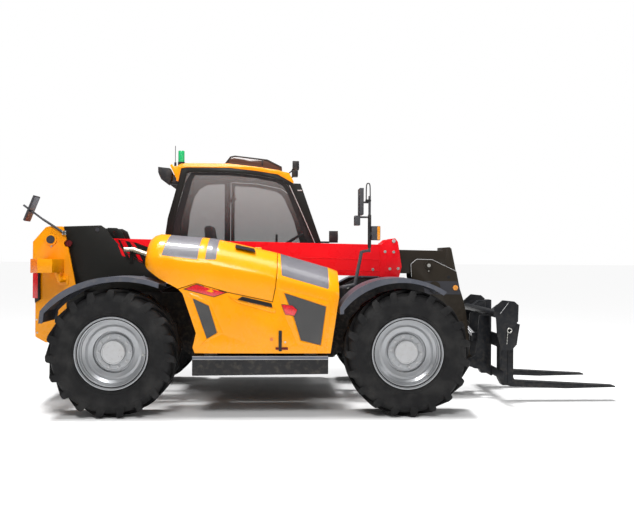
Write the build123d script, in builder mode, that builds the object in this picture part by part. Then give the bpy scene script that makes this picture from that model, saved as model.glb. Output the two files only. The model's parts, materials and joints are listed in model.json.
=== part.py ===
from build123d import *
import os
from math import asin, atan2, cos, degrees, hypot, radians, sin, sqrt

# A four-wheel telescopic handler. +X is forward, +Y is to the machine's left, +Z is up.
# The origin is on the ground under the middle of the overall length. Millimetres throughout.
os.makedirs("parts", exist_ok=True)

# ---- Driving dimensions ----
wheelbase = 2710
overall_width = 2250
tyre_radius = 585
tyre_width = 416
rim_radius = 331           # outer edge of the rim's flange, for a 24 inch bead seat
rim_width = 344
kingpin_offset = 120       # the kingpin stands this far inside the wheel's centre plane
rear_overhang = 1044       # rear axle to the tip of the rear mirror's arm
fork_reach = 2280          # front axle to the fork tips
boom_droop = 0.9           # the boom at rest falls this many degrees towards its head
running_gap = 0.05         # radial clearance of a pin in its bore
seat_gap = 0.3             # clearance of a piece from the seat that it rests in

frame_half = 308           # outer face of the frame's side plates
frame_plate = 28
tower_plate = 22
deck_height = 590          # underside of the cab and of the engine housing
bearer = 24                # thickness of the cross bearers under both
cab_inner = 240            # the cab's wall beside the boom
cab_outer = 1098
cab_wall = 42
roof_height = 2503
glass = 6
pod_inner = 360            # the engine housing's wall beside the boom
pod_outer = 1112
pod_wall = 14
panel_gap = 7              # seam between a moving panel and its frame
hinge_pin = 6
hinge_sleeve = 10
hinge_half = 20            # half length of a hinge's sleeve
fender_tube = 14

# ---- Derived places ----
rear_axle_x = -(wheelbase + fork_reach - rear_overhang) / 2
front_axle_x = rear_axle_x + wheelbase
axle_z = tyre_radius
wheel_y = overall_width / 2 - tyre_width / 2
kingpin_y = wheel_y - kingpin_offset
fender_inner = wheel_y - tyre_width / 2
fender_outer = overall_width / 2 - 6


def rear(x):
    """A place measured forward from the rear axle."""
    return rear_axle_x + x


def front(x):
    """A place measured forward from the front axle."""
    return front_axle_x + x


def side_plane(y):
    """An upright plane seen from the right: its X runs forward and its Y runs up."""
    return Plane(origin=(0, y, 0), x_dir=(1, 0, 0), z_dir=(0, -1, 0))


def cross_plane(x):
    """An upright plane across the machine: its X runs to the left and its Y runs up."""
    return Plane(origin=(x, 0, 0), x_dir=(0, 1, 0), z_dir=(1, 0, 0))


def slab(outline, y_low, y_high, corner=0, mode=Mode.ADD, plane=side_plane):
    """A flat plate between two y values, from its outline seen from the side."""
    with BuildSketch(plane(y_high)) as face:
        with BuildLine():
            Polyline(*outline, close=True)
        make_face()
        if corner:
            fillet(face.vertices(), corner)
    return extrude(face.sketch, amount=y_high - y_low, mode=mode)


def fitted(outline, y, thickness, clearance, corner):
    """A flat piece that fits an opening with a clearance all round, inward from its left face."""
    with BuildSketch(side_plane(y)) as face:
        with BuildLine():
            Polyline(*outline, close=True)
        make_face()
        fillet(face.vertices(), corner)
        offset(amount=-clearance, kind=Kind.INTERSECTION)
    return extrude(face.sketch, amount=thickness)


def bar(start, end, radius, mode=Mode.ADD):
    """A round bar between two points."""
    along = Vector(*end) - Vector(*start)
    with BuildSketch(Plane(origin=start, z_dir=along)) as face:
        Circle(radius)
    return extrude(face.sketch, amount=along.length, mode=mode)


def cross_bar(x, z, radius, y_low, y_high, mode=Mode.ADD):
    """A round bar along Y."""
    return bar((x, y_low, z), (x, y_high, z), radius, mode)


def block(x0, x1, y0, y1, z0, z1, mode=Mode.ADD):
    """A box from its lowest and highest corners."""
    with BuildSketch(Plane.XY.offset(z0)) as face:
        with Locations(((x0 + x1) / 2, (y0 + y1) / 2)):
            Rectangle(x1 - x0, y1 - y0)
    return extrude(face.sketch, amount=z1 - z0, mode=mode)


def save(piece, name):
    """Labels a finished piece and writes it as its own STEP file."""
    piece.part.label = name
    export_step(piece.part, "parts/" + name + ".step")


# ---- Boom geometry ----
pivot_x = rear(-769)
pivot_z = 1632
pivot_pin = 40
boom_half = 160            # outer section, half width
boom_top = 30              # outer section, top and bottom measured from the pivot's level
boom_bottom = -305
boom_wall = 10
inner_half = 128
inner_top = -20
inner_bottom = -270
inner_wall = 9
droop = radians(boom_droop)


def boom_plane(y):
    """An upright plane whose origin is the boom's pivot and whose X runs along the boom."""
    return Plane(origin=(pivot_x, y, pivot_z), x_dir=(cos(droop), 0, -sin(droop)), z_dir=(0, -1, 0))


def boom_section(u):
    """A plane square to the boom at the distance u from its pivot."""
    start = boom_plane(0).from_local_coords(Vector(u, 0, 0))
    return Plane(origin=start, x_dir=(0, 1, 0), z_dir=(cos(droop), 0, -sin(droop)))


def along(x):
    """The distance along the boom of a place x."""
    return (x - pivot_x) / cos(droop)


def boom_slab(outline, y_low, y_high, corner=0, mode=Mode.ADD):
    return slab(outline, y_low, y_high, corner, mode, boom_plane)


def boom_box(u0, u1, half, v0, v1, mode=Mode.ADD):
    """A box along the boom, centred across it."""
    with BuildSketch(boom_section(u0)) as face:
        with Locations((0, (v0 + v1) / 2)):
            Rectangle(2 * half, v1 - v0)
    return extrude(face.sketch, amount=u1 - u0, mode=mode)


boom_front = along(front(-10))      # front edge of the outer section
collar_back = along(front(-127))
collar_front = along(front(95))
head_front = along(front(640))

# Lift cylinder: from the frame to the underside of the boom.
lift_base = (rear(-420), 800)
lift_eye = (rear(750), 1225)
lift_angle = atan2(lift_eye[1] - lift_base[1], lift_eye[0] - lift_base[0])
lift_length = hypot(lift_eye[0] - lift_base[0], lift_eye[1] - lift_base[1])
lift_barrel_radius = 66
lift_rod_radius = 38
lift_pin = 30

# Head and carriage: the head's lower pin carries the carriage.
tip_pin = (front(850), 370)
tilt_base = (front(450), 1160)
tilt_eye = (front(930), 620)
tilt_angle = atan2(tilt_eye[1] - tilt_base[1], tilt_eye[0] - tilt_base[0])
tilt_length = hypot(tilt_eye[0] - tilt_base[0], tilt_eye[1] - tilt_base[1])
tilt_barrel_radius = 48
tilt_rod_radius = 26
tilt_pin = 22

# ---- Frame ----
frame_outline = [
    (rear(-620), 700), (rear(300), 700), (rear(640), 440), (front(-640), 440), (front(-300), 700),
    (front(310), 700), (front(350), 860), (front(300), 1200), (front(200), 1250), (front(-420), 1250),
    (front(-700), 1100), (rear(330), 1100), (rear(60), 1240), (rear(-620), 1240),
]
with BuildPart() as main_frame:
    for side in (-1, 1):
        low, high = sorted((side * (frame_half - frame_plate), side * frame_half))
        slab(frame_outline, low, high, 24)
    inside = frame_half - frame_plate
    # Cross members, as (x start, x end, z low, z high).
    for x0, x1, z0, z1 in (
        (rear(-610), rear(-560), 720, 1180),
        (rear(430), rear(480), 480, 860),
        (front(-560), front(-510), 480, 1000),
        (front(240), front(290), 740, 1100),
    ):
        block(x0, x1, -inside, inside, z0, z1)
    block(rear(620), front(-620), -inside, inside, 440, 456)
    # Cross bearers that carry the cab and the engine housing.
    for x in (rear(900), front(-900)):
        for side in (-1, 1):
            low, high = sorted((side * frame_half, side * (pod_outer - 20)))
            block(x - 60, x + 60, low, high, deck_height - bearer, deck_height)
    cross_bar(*lift_base, 58, -inside, inside)
    cross_bar(*lift_base, 100, -90, 90, mode=Mode.SUBTRACT)
    cross_bar(*lift_base, lift_pin, -100, 100)
save(main_frame, "main_frame")

# Side panels of the boom tower, bolted to the frame. The left one stops short of the cab.
tower_right = [
    (rear(-625), 1120), (rear(-625), 1200), (rear(-676), 1210), (rear(-676), 1768), (rear(-556), 1773),
    (rear(-298), 1782),
    (rear(-246), 1745), (rear(-193), 1667), (rear(-60), 1520), (rear(114), 1411), (rear(153), 1353),
    (rear(340), 1237), (rear(340), 1120),
]
tower_left = [
    (rear(-625), 1120), (rear(-625), 1200), (rear(-676), 1210), (rear(-676), 1768), (rear(-556), 1773),
    (rear(-298), 1782),
    (rear(-246), 1745), (rear(-193), 1667), (rear(-60), 1520), (rear(114), 1411), (rear(190), 1340),
    (rear(190), 1120),
]
with BuildPart() as tower:
    slab(tower_right, -frame_half - tower_plate, -frame_half, 14)
    slab(tower_left, frame_half, frame_half + tower_plate, 14)
save(tower, "boom_tower")

# Tail: two upright plates that carry the boom's pivot, and the counterweight between them.
tail_inner = 378
tail_plate = 24
tail_outline = [
    (rear(-949), 1440), (rear(-949), 1608), (rear(-824), 1755), (rear(-790), 1765), (rear(-654), 1765),
    (rear(-628), 1662), (rear(-601), 1541), (rear(-526), 1175), (rear(-526), 760), (rear(-600), 640),
    (rear(-812), 602), (rear(-916), 660), (rear(-919), 1004),
]
with BuildPart() as tail_plates:
    for side in (-1, 1):
        low, high = sorted((side * tail_inner, side * (tail_inner + tail_plate)))
        slab(tail_outline, low, high, 16)
        boss_low, boss_high = sorted((side * (tail_inner - 10), side * (tail_inner + tail_plate + 16)))
        cross_bar(pivot_x, pivot_z, 58, boss_low, boss_high)
        # The notch in the front edge leaves room for a hose clamp.
        cross_bar(rear(-608), 1593, 36, low, high, mode=Mode.SUBTRACT)
    cross_bar(pivot_x, pivot_z, pivot_pin + running_gap, -500, 500, mode=Mode.SUBTRACT)
    # Spacers between the tail plates and the tower panels.
    for side in (-1, 1):
        low, high = sorted((side * (frame_half + tower_plate), side * tail_inner))
        block(rear(-660), rear(-600), low, high, 1240, 1480)
save(tail_plates, "tail_plates")

counter_outline = [
    (rear(-930), 700), (rear(-900), 640), (rear(-640), 640), (rear(-640), 1190), (rear(-900), 1190),
    (rear(-930), 1100),
]
with BuildPart() as counterweight:
    slab(counter_outline, -tail_inner, tail_inner, 18)
    block(rear(-640), rear(-620), -frame_half + frame_plate, frame_half - frame_plate, 760, 1150)
save(counterweight, "counterweight")

with BuildPart() as pivot:
    cross_bar(pivot_x, pivot_z, pivot_pin, -tail_inner - tail_plate - 24, tail_inner + tail_plate + 24)
save(pivot, "boom_pivot_pin")

# ---- Axles, knuckles and wheels ----
axle_tube = 72
diff_radius = 175
yoke_arm = 24              # thickness of the yoke's arms above and below the knuckle
yoke_gap = 118             # half height of the space between the arms
kingpin_radius = 24
hub_radius = 98
hub_bore = 100
disc_offset = 48           # inner face of the wheel's disc, outward from the wheel's centre plane
disc_plate = 14

for name, axle_x in (("rear_axle", rear_axle_x), ("front_axle", front_axle_x)):
    with BuildPart() as axle:
        cross_bar(axle_x, axle_z, axle_tube, -kingpin_y + 110, kingpin_y - 110)
        with BuildSketch(side_plane(0)) as bowl:
            with Locations((axle_x, axle_z)):
                Circle(diff_radius)
        extrude(bowl.sketch, amount=95, both=True, taper=20)
        for side in (-1, 1):
            low, high = sorted((side * (frame_half - 60), side * (frame_half + 20)))
            block(axle_x - 90, axle_x + 90, low, high, axle_z + 30, 700)
            # The yoke holds the knuckle between two arms.
            back, end = side * (kingpin_y - 128), side * (kingpin_y - 86)
            low, high = sorted((back, end))
            reach = yoke_gap + yoke_arm
            block(axle_x - 62, axle_x + 62, low, high, axle_z - reach, axle_z + reach)
            low, high = sorted((back, side * (kingpin_y + 44)))
            for z in (axle_z - yoke_gap - yoke_arm, axle_z + yoke_gap):
                block(axle_x - 50, axle_x + 50, low, high, z, z + yoke_arm)
            bar(
                (axle_x, side * kingpin_y, axle_z - yoke_gap - yoke_arm),
                (axle_x, side * kingpin_y, axle_z + yoke_gap + yoke_arm),
                kingpin_radius,
            )
    save(axle, name)

wheels = [
    ("front_left", front_axle_x, 1), ("front_right", front_axle_x, -1),
    ("rear_left", rear_axle_x, 1), ("rear_right", rear_axle_x, -1),
]


def across(x, side):
    """A plane on a wheel's axle line: its Y runs outward from the wheel's centre plane."""
    return Plane(origin=(x, side * wheel_y, axle_z), x_dir=(1, 0, 0), z_dir=(0, 0, side))


# Half sections as (outward, radius), turned about the axle.
bead_seat = 305
half_tyre = tyre_width / 2
half_rim = rim_width / 2
for name, x, side in wheels:
    with BuildPart() as knuckle:
        bar((x, side * kingpin_y, axle_z - yoke_gap + 2), (x, side * kingpin_y, axle_z + yoke_gap - 2), 52)
        bar((x, side * (kingpin_y - 44), axle_z), (x, side * (kingpin_y + 90), axle_z), 80)
        spindle_end = wheel_y + disc_offset - 18 - seat_gap
        bar((x, side * (kingpin_y + 90), axle_z), (x, side * spindle_end, axle_z), 60)
        bar(
            (x, side * kingpin_y, axle_z - yoke_gap - 1),
            (x, side * kingpin_y, axle_z + yoke_gap + 1),
            kingpin_radius + running_gap,
            mode=Mode.SUBTRACT,
        )
        # The steering arm reaches back or forward to the track rod.
        low, high = sorted((side * (kingpin_y - 30), side * (kingpin_y + 20)))
        block(x - 160, x - 40, low, high, axle_z - 70, axle_z - 46)
    save(knuckle, "knuckle_" + name)

    with BuildPart() as rim:
        with BuildSketch(across(x, side)) as section:
            with BuildLine():
                Polyline(
                    (rim_radius, half_rim), (rim_radius, half_rim - 12), (bead_seat, half_rim - 16),
                    (bead_seat, half_rim - 62), (bead_seat - 48, half_rim - 92),
                    (bead_seat - 48, -half_rim + 92),
                    (bead_seat, -half_rim + 62), (bead_seat, -half_rim + 16), (rim_radius, -half_rim + 12),
                    (rim_radius, -half_rim), (bead_seat - 12, -half_rim), (bead_seat - 12, -half_rim + 58),
                    (bead_seat - 60, -half_rim + 88), (bead_seat - 60, disc_offset),
                    (hub_bore, disc_offset), (hub_bore, disc_offset + disc_plate),
                    (bead_seat - 60, disc_offset + disc_plate), (bead_seat - 60, half_rim - 88),
                    (bead_seat - 12, half_rim - 58), (bead_seat - 12, half_rim),
                    close=True,
                )
            make_face()
        revolve(section.sketch, axis=Axis((x, 0, axle_z), (0, 1, 0)))
        with BuildSketch(across(x, side)) as section:
            with BuildLine():
                Polyline(
                    (0, disc_offset - 18), (150, disc_offset - 18), (150, disc_offset),
                    (hub_radius, disc_offset), (hub_radius, disc_offset + 40), (70, disc_offset + 76),
                    (0, disc_offset + 76), close=True,
                )
            make_face()
        revolve(section.sketch, axis=Axis((x, 0, axle_z), (0, 1, 0)))
    save(rim, "rim_" + name)

    with BuildPart() as tyre:
        with BuildSketch(across(x, side)) as section:
            with BuildLine():
                Polyline(
                    (bead_seat + seat_gap, half_rim - 62), (bead_seat + seat_gap, half_rim - 18),
                    (rim_radius, half_rim - 16), (360, half_tyre - 22), (430, half_tyre),
                    (500, half_tyre - 2),
                    (545, half_tyre - 6), (563, half_tyre - 22), (tyre_radius - 3, 110), (tyre_radius, 60),
                    (tyre_radius, -60), (tyre_radius - 3, -110), (563, -half_tyre + 22),
                    (545, -half_tyre + 6),
                    (500, -half_tyre + 2), (430, -half_tyre), (360, -half_tyre + 22),
                    (rim_radius, -half_rim + 16),
                    (bead_seat + seat_gap, -half_rim + 18), (bead_seat + seat_gap, -half_rim + 62),
                    (bead_seat + 26, -half_rim + 62), (400, -half_tyre + 40), (520, -half_tyre + 40),
                    (535, 0), (520, half_tyre - 40), (400, half_tyre - 40), (bead_seat + 26, half_rim - 62),
                    close=True,
                )
            make_face()
        revolve(section.sketch, axis=Axis((x, 0, axle_z), (0, 1, 0)))
    save(tyre, "tyre_" + name)

# ---- Fenders ----
fender_skin = 10
for name, place, carrier, tubes, outer_points, inner_points in (
    (
        "rear_fenders", rear, frame_half + tower_plate, [(-180, 1220), (140, 1258)],
        [(-640, 860), (-628, 970), (-300, 1216), (100, 1283), (430, 1222)],
        [(-604, 860), (-592, 950), (-290, 1160), (100, 1238), (424, 1180)],
    ),
    (
        "front_fenders", front, frame_half, [(-230, 1230), (100, 1228)],
        [(-632, 947), (-634, 1000), (-420, 1209), (-80, 1284), (355, 1154)],
        [(-596, 950), (-596, 985), (-400, 1150), (-80, 1238), (325, 1122)],
    ),
):
    with BuildPart() as fenders:
        for side in (-1, 1):
            low, high = sorted((side * fender_inner, side * fender_outer))
            for inset, y0, y1, mode in (
                (0, low, high, Mode.ADD), (fender_skin, low + 12, high - 12, Mode.SUBTRACT),
            ):
                top = [(place(px), pz - inset) for px, pz in outer_points]
                under = [(place(px), pz - 60 * (inset > 0)) for px, pz in inner_points]
                if inset:
                    top[0] = (top[0][0] + inset, top[0][1])
                    top[1] = (top[1][0] + inset, top[1][1])
                with BuildSketch(side_plane(y1)) as band:
                    with BuildLine():
                        Line(top[0], top[1])
                        Spline(top[1], top[2], top[3], top[4])
                        Line(top[4], under[4])
                        Spline(under[4], under[3], under[2], under[1])
                        Line(under[1], under[0])
                        Line(under[0], top[0])
                    make_face()
                extrude(band.sketch, amount=y1 - y0, mode=mode)
            for tube_at, tube_level in tubes:
                low, high = sorted((side * carrier, side * (fender_inner + 6)))
                cross_bar(place(tube_at), tube_level, fender_tube, low, high)
    save(fenders, name)

# ---- Boom ----
cavity_half = boom_half - boom_wall
cavity_top = boom_top - boom_wall
cavity_bottom = boom_bottom + boom_wall
boom_boss = 76
boom_outline = [
    (-70, -80), (-80, 10), (-30, 76), (120, boom_top), (boom_front, boom_top), (boom_front, boom_bottom),
    (420, boom_bottom), (120, -250),
]
bracket_hole = 22
lift_eye_u = along(lift_eye[0])
with BuildPart() as boom_outer:
    boom_slab(boom_outline, -boom_half, boom_half, 20)
    boom_box(240, boom_front + 10, cavity_half, cavity_bottom, cavity_top, mode=Mode.SUBTRACT)
    # The rear end is open between its cheeks, which carry the pivot's tube.
    boom_box(-200, 200, cavity_half - 14, -400, 200, mode=Mode.SUBTRACT)
    cross_bar(pivot_x, pivot_z, boom_boss, -boom_half - 6, boom_half + 6)
    cross_bar(pivot_x, pivot_z, pivot_pin + running_gap, -500, 500, mode=Mode.SUBTRACT)
    # Collar plates round the front end.
    collar = [
        (collar_back, boom_top - 2), (collar_back + 66, 88), (collar_front - 75, 100),
        (collar_front - 44, 62),
        (collar_front - 30, -20), (collar_front, -200), (collar_front - 26, -312), (collar_back - 10, -312),
    ]
    for side in (-1, 1):
        low, high = sorted((side * boom_half, side * (boom_half + 22)))
        boom_slab(collar, low, high, 12)
    for v0, v1 in ((boom_top, boom_top + 24), (boom_bottom - 22, boom_bottom)):
        boom_box(collar_back + 20, boom_front, boom_half + 22, v0, v1)
    # Cheeks under the boom for the lift cylinder's rod.
    eye_v = lift_eye[1] - pivot_z + lift_eye_u * sin(droop)
    for side in (-1, 1):
        low, high = sorted((side * 47, side * 67))
        boom_slab(
            [
                (lift_eye_u - 190, boom_bottom), (lift_eye_u - 60, eye_v - 52), (lift_eye_u + 60, eye_v - 52),
                (lift_eye_u + 190, boom_bottom),
            ],
            low, high, 14,
        )
        outer_low, outer_high = sorted((side * 47, side * 84))
        cross_bar(lift_eye[0], lift_eye[1], 46, outer_low, outer_high)
    # A lug with a lifting hole stands on the boom near the cab.
    for side in (-1, 1):
        low, high = sorted((side * 120, side * 142))
        lug_u = along(rear(-200))
        boom_slab(
            [(lug_u - 110, boom_top), (lug_u - 80, 140), (lug_u + 10, 140), (lug_u + 62, 112),
             (lug_u + 96, boom_top)],
            low, high, 10,
        )
    cross_bar(rear(-201), 1708, bracket_hole, -200, 200, mode=Mode.SUBTRACT)
save(boom_outer, "boom_outer")

inner_back = 300
pad_length = 150
with BuildPart() as boom_inner:
    boom_box(inner_back, head_front - 60, inner_half, inner_bottom, inner_top)
    boom_box(
        inner_back + 40, head_front - 80, inner_half - inner_wall, inner_bottom + inner_wall,
        inner_top - inner_wall, mode=Mode.SUBTRACT,
    )
    boom_box(head_front - 100, head_front - 60, inner_half, inner_top, inner_top + 34)
save(boom_inner, "boom_inner")

# Slide pads: the front ones stand in the collar, the rear ones ride on the inner section.
with BuildPart() as front_pads:
    u0 = boom_front - pad_length - 10
    boom_box(u0, u0 + pad_length, inner_half - 30, inner_top + seat_gap, cavity_top)
    boom_box(u0, u0 + pad_length, inner_half - 30, cavity_bottom, inner_bottom - seat_gap)
    for side in (-1, 1):
        low, high = sorted((side * (inner_half + seat_gap), side * cavity_half))
        boom_slab(
            [(u0, inner_bottom + 40), (u0, inner_top - 40), (u0 + pad_length, inner_top - 40),
             (u0 + pad_length, inner_bottom + 40)], low, high,
        )
save(front_pads, "slide_pads_front")
with BuildPart() as rear_pads:
    u0 = inner_back + 10
    boom_box(u0, u0 + pad_length, inner_half - 30, inner_top, cavity_top - seat_gap)
    boom_box(u0, u0 + pad_length, inner_half - 30, cavity_bottom + seat_gap, inner_bottom)
    for side in (-1, 1):
        low, high = sorted((side * inner_half, side * (cavity_half - seat_gap)))
        boom_slab(
            [(u0, inner_bottom + 40), (u0, inner_top - 40), (u0 + pad_length, inner_top - 40),
             (u0 + pad_length, inner_bottom + 40)], low, high,
        )
save(rear_pads, "slide_pads_rear")

# Head: two curved cheeks welded to the inner section, joined by a web along their back edge.
cheek = 18
head_outline_front = [(front(725), 1139), (front(772), 981), (front(813), 718), (front(838), 456)]
head_back_points = [(front(470), 650), (front(400), 900), (front(300), 1120), (front(205), 1252)]
with BuildPart() as boom_head:
    for side in (-1, 1):
        low, high = sorted((side * inner_half, side * (inner_half + cheek)))
        with BuildSketch(side_plane(high)) as face:
            with BuildLine():
                Polyline(
                    head_back_points[-1], (front(196), 1407), (front(258), 1459), (front(426), 1455),
                    (front(650), 1350), (front(686), 1332), head_outline_front[0],
                )
                Spline(*head_outline_front)
                Line(head_outline_front[-1], (tip_pin[0] + 50, tip_pin[1]))
                ThreePointArc(
                    (tip_pin[0] + 50, tip_pin[1]), (tip_pin[0], tip_pin[1] - 50),
                    (tip_pin[0] - 50, tip_pin[1]),
                )
                Line((tip_pin[0] - 50, tip_pin[1]), (front(560), 440))
                Spline((front(560), 440), *head_back_points)
            make_face()
        extrude(face.sketch, amount=high - low)
        low, high = sorted((side * inner_half, side * (inner_half + cheek + 16)))
        cross_bar(tilt_base[0], tilt_base[1], 62, low, high)
        low, high = sorted((side * (inner_half - 30), side * (inner_half + cheek)))
        cross_bar(tip_pin[0], tip_pin[1], 56, low, high)
    # Web between the cheeks along the lower back edge.
    slab(
        [(front(560), 440), head_back_points[0], (front(494), 656), (front(584), 446)],
        -inner_half, inner_half,
    )
    slab(
        [head_back_points[0], head_back_points[1], (front(424), 906), (front(494), 656)],
        -inner_half, inner_half,
    )
    # The box in front of the inner section, with a raised lip.
    slab(
        [(front(576.2), 1290), (front(580.8), 1584), (front(617), 1588), (front(636), 1572),
         (front(725), 1139), (front(690), 1139), (front(650), 1290)], -inner_half, inner_half,
    )
    cross_bar(tip_pin[0], tip_pin[1], 30 + running_gap, -300, 300, mode=Mode.SUBTRACT)
    cross_bar(tilt_base[0], tilt_base[1], tilt_pin, -inner_half, inner_half)
save(boom_head, "boom_head")


barrel_wall = 9
piston_length = 60
gland_length = 40
eye_room = 84              # the rod's end outside its gland when the cylinder is shut


def cylinder(start, angle, length, reserve, barrel_radius, rod_radius, pin, eye_half, names):
    """A hydraulic cylinder between two eyes, whose rod can still draw in by the reserve."""
    way = (cos(angle), 0, sin(angle))

    def place(distance):
        return (start[0] + distance * way[0], 0, start[1] + distance * way[2])

    foot = 0.5 * barrel_radius
    gland = length - reserve - eye_room
    piston_back = foot + 44 + reserve
    bore = barrel_radius - barrel_wall
    with BuildPart() as barrel:
        bar(place(foot), place(gland), barrel_radius)
        bar(place(gland - gland_length), place(gland), barrel_radius + 8)
        cross_bar(start[0], start[1], barrel_radius * 0.86, -eye_half, eye_half)
        bar(place(foot + 40), place(gland + 10), rod_radius + running_gap, mode=Mode.SUBTRACT)
        bar(place(foot + 40), place(gland - gland_length - 20), bore, mode=Mode.SUBTRACT)
        cross_bar(start[0], start[1], pin + running_gap, -200, 200, mode=Mode.SUBTRACT)
    save(barrel, names[0])
    end = place(length)
    with BuildPart() as rod:
        bar(place(piston_back), place(piston_back + piston_length), bore - running_gap)
        bar(place(piston_back), place(length - 20), rod_radius)
        cross_bar(end[0], end[2], rod_radius * 1.3, -eye_half, eye_half)
        cross_bar(end[0], end[2], pin + running_gap, -200, 200, mode=Mode.SUBTRACT)
    save(rod, names[1])


cylinder(
    lift_base, lift_angle, lift_length, 40, lift_barrel_radius, lift_rod_radius, lift_pin, 44,
    ("lift_barrel", "lift_rod"),
)
cylinder(
    tilt_base, tilt_angle, tilt_length, 66, tilt_barrel_radius, tilt_rod_radius, tilt_pin, 36,
    ("tilt_barrel", "tilt_rod"),
)

# ---- Carriage and forks ----
carriage_half = 597
fork_y = 380
fork_width = 110
fork_thick = 60
tube_x, tube_z, tube_radius = front(990), 910, 38
fork_back = front(1150)    # rear face of a fork's shank
side_outline = [
    (front(956), 975), (front(1043), 1050), (front(1163), 1038), (front(1207), 1001), (front(1201), 834),
    (front(1176), 822), (front(1220), 809), (front(1201), 692), (front(1189), 606), (front(1139), 550),
    (front(1030), 550), (front(990), 692), (front(980), 860),
]
centre_outline = [
    (front(923), 866), (front(1030), 860), (front(1044), 591), (front(1034), 342), (front(1090), 250),
    (front(1050), 226), (front(920), 300), (front(870), 305), (front(800), 340), (front(800), 400),
    (front(880), 440), (front(905), 620),
]
lock_bore = (front(1113), 747, 15.5)   # for the pin that locks an attachment, as (x, z, radius)
with BuildPart() as carriage:
    for side in (-1, 1):
        low, high = sorted((side * carriage_half, side * (carriage_half - 16)))
        slab(side_outline, low, high, 8)
        low, high = sorted((side * 176, side * 196))
        slab(centre_outline, low, high, 10)
        # Lugs for the tilt cylinder's rod.
        low, high = sorted((side * 39, side * 55))
        slab(
            [(tilt_eye[0] - 46, tilt_eye[1] - 46), (tilt_eye[0] - 46, tilt_eye[1] + 46),
             (tilt_eye[0] + 40, tilt_eye[1] + 46), (front(1052), 690), (front(1052), 560),
             (tilt_eye[0] + 40, tilt_eye[1] - 46)], low, high, 8,
        )
    cross_bar(tube_x, tube_z, tube_radius, -carriage_half, carriage_half)
    cross_bar(*lock_bore, -carriage_half - 10, carriage_half + 10, mode=Mode.SUBTRACT)
    # Beams behind the forks, as (z low, z high).
    for z0, z1 in ((560, 690), (246, 330)):
        half = carriage_half - 60 * (z0 < 500)
        block(front(1052), front(1074), -half, half, z0, z1)
    for side in (-1, 1):
        low, high = sorted((side * (fork_y - 50), side * (fork_y + 50)))
        slab(
            [(front(1100), 168), (fork_back, 168), (fork_back, 990), (front(1066), 990),
             (front(1006), 944), (front(1066), 850), (front(1066), 226)],
            low, high,
        )
    cross_bar(tip_pin[0], tip_pin[1], 30, -196, 196)
    cross_bar(tip_pin[0], tip_pin[1], 52, -196, -150)
    cross_bar(tip_pin[0], tip_pin[1], 52, 150, 196)
save(carriage, "carriage")

fork_outline = [
    (fork_back, 990), (fork_back + 20, 1000), (fork_back + fork_thick, 1000),
    (fork_back + fork_thick, 250), (fork_back + fork_thick + 22, 215), (front(1800), 185),
    (front(fork_reach), 160), (front(fork_reach), 146), (front(1760), 134), (fork_back + 30, 156),
    (fork_back, 168),
]
with BuildPart() as forks:
    for side in (-1, 1):
        low, high = sorted((side * (fork_y - fork_width / 2), side * (fork_y + fork_width / 2)))
        slab(fork_outline, low, high)
save(forks, "forks")

# ---- Engine and its housing on the right side ----
with BuildPart() as engine:
    slab(
        [(rear(850), deck_height + pod_wall), (rear(850), 1130), (rear(880), 1260), (rear(1560), 1150),
         (rear(1560), 760), (rear(1380), deck_height + pod_wall)], -960, -470, 20,
    )
save(engine, "engine_block")

# Cross sections of the housing, as (x, top, outer side, depth of the rounded shoulder).
pod_sections = [
    (rear(240), 1490, 800, 120),
    (rear(266), 1577, 915, 155),
    (rear(294), 1625, 985, 185),
    (rear(335), 1656, 1032, 210),
    (rear(390), 1672, 1062, 225),
    (rear(900), 1632, 1106, 245),
    (front(-1210), 1497, pod_outer, 235),
    (front(-725), 1357, pod_outer, 205),
    (front(-640), 1325, 1090, 190),
]
pod_side = [
    (rear(240), 1430), (rear(240), 1700), (front(-640), 1700), (front(-640), 1100),
    (front(-718), deck_height), (rear(753), deck_height), (rear(734), 640), (rear(764), 771),
    (rear(638), 1132), (rear(594), 1175), (rear(427), 1264), (rear(300), 1352), (rear(256), 1392),
]


def pod_body(inset):
    """The housing's body, drawn in on every side by an inset."""
    with BuildPart() as body:
        for index, (x, top, outer, depth) in enumerate(pod_sections):
            shift = inset * ((index == 0) - (index == len(pod_sections) - 1))
            inner, outer, top = -pod_inner - inset, -outer + inset, top - inset
            crown = inner - 0.42 * (inner - outer)
            with BuildSketch(cross_plane(x + shift)):
                with BuildLine():
                    Polyline((inner, deck_height + inset), (inner, top - 6), (crown, top))
                    ThreePointArc(
                        (crown, top),
                        (crown + 0.74 * (outer - crown), top - 0.30 * depth),
                        (outer, top - depth),
                    )
                    Polyline((outer, top - depth), (outer, deck_height + inset), (inner, deck_height + inset))
                make_face()
        loft(ruled=True)
        with BuildSketch(side_plane(0)) as profile:
            with BuildLine():
                Polyline(*pod_side, close=True)
            make_face()
            if inset:
                offset(amount=-inset, kind=Kind.INTERSECTION)
        extrude(profile.sketch, amount=overall_width, mode=Mode.INTERSECT)
    return body.part


pod_outside = pod_body(0)
pod_inside = pod_body(pod_wall)
hood_edge = -pod_inner - pod_wall - 2
hood_seam = [
    (rear(596), 1172), (rear(761), 1226), (rear(1047), 1146), (front(-1251), 1060), (front(-1226), 1191),
    (front(-1212), 1330), (front(-1205), 2000),
]
hood_region = [(rear(100), 2000), (rear(100), 1172)] + hood_seam


def grown(outline, amount):
    """An outline grown or shrunk on every side, as a sketch seen from the side."""
    with BuildSketch(side_plane(0)) as face:
        with BuildLine():
            Polyline(*outline, close=True)
        make_face()
        offset(amount=amount, kind=Kind.INTERSECTION)
    return face.sketch


# Hinges of the hood, as (x, height over the housing's ridge).
hood_hinges = [(rear(420), 8.2), (front(-1400), 18.0)]


def ridge(x):
    """Height of the housing's ridge at an x."""
    for (x0, z0, *_), (x1, z1, *_) in zip(pod_sections, pod_sections[1:]):
        if x0 <= x <= x1:
            return z0 + (z1 - z0) * (x - x0) / (x1 - x0)


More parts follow.
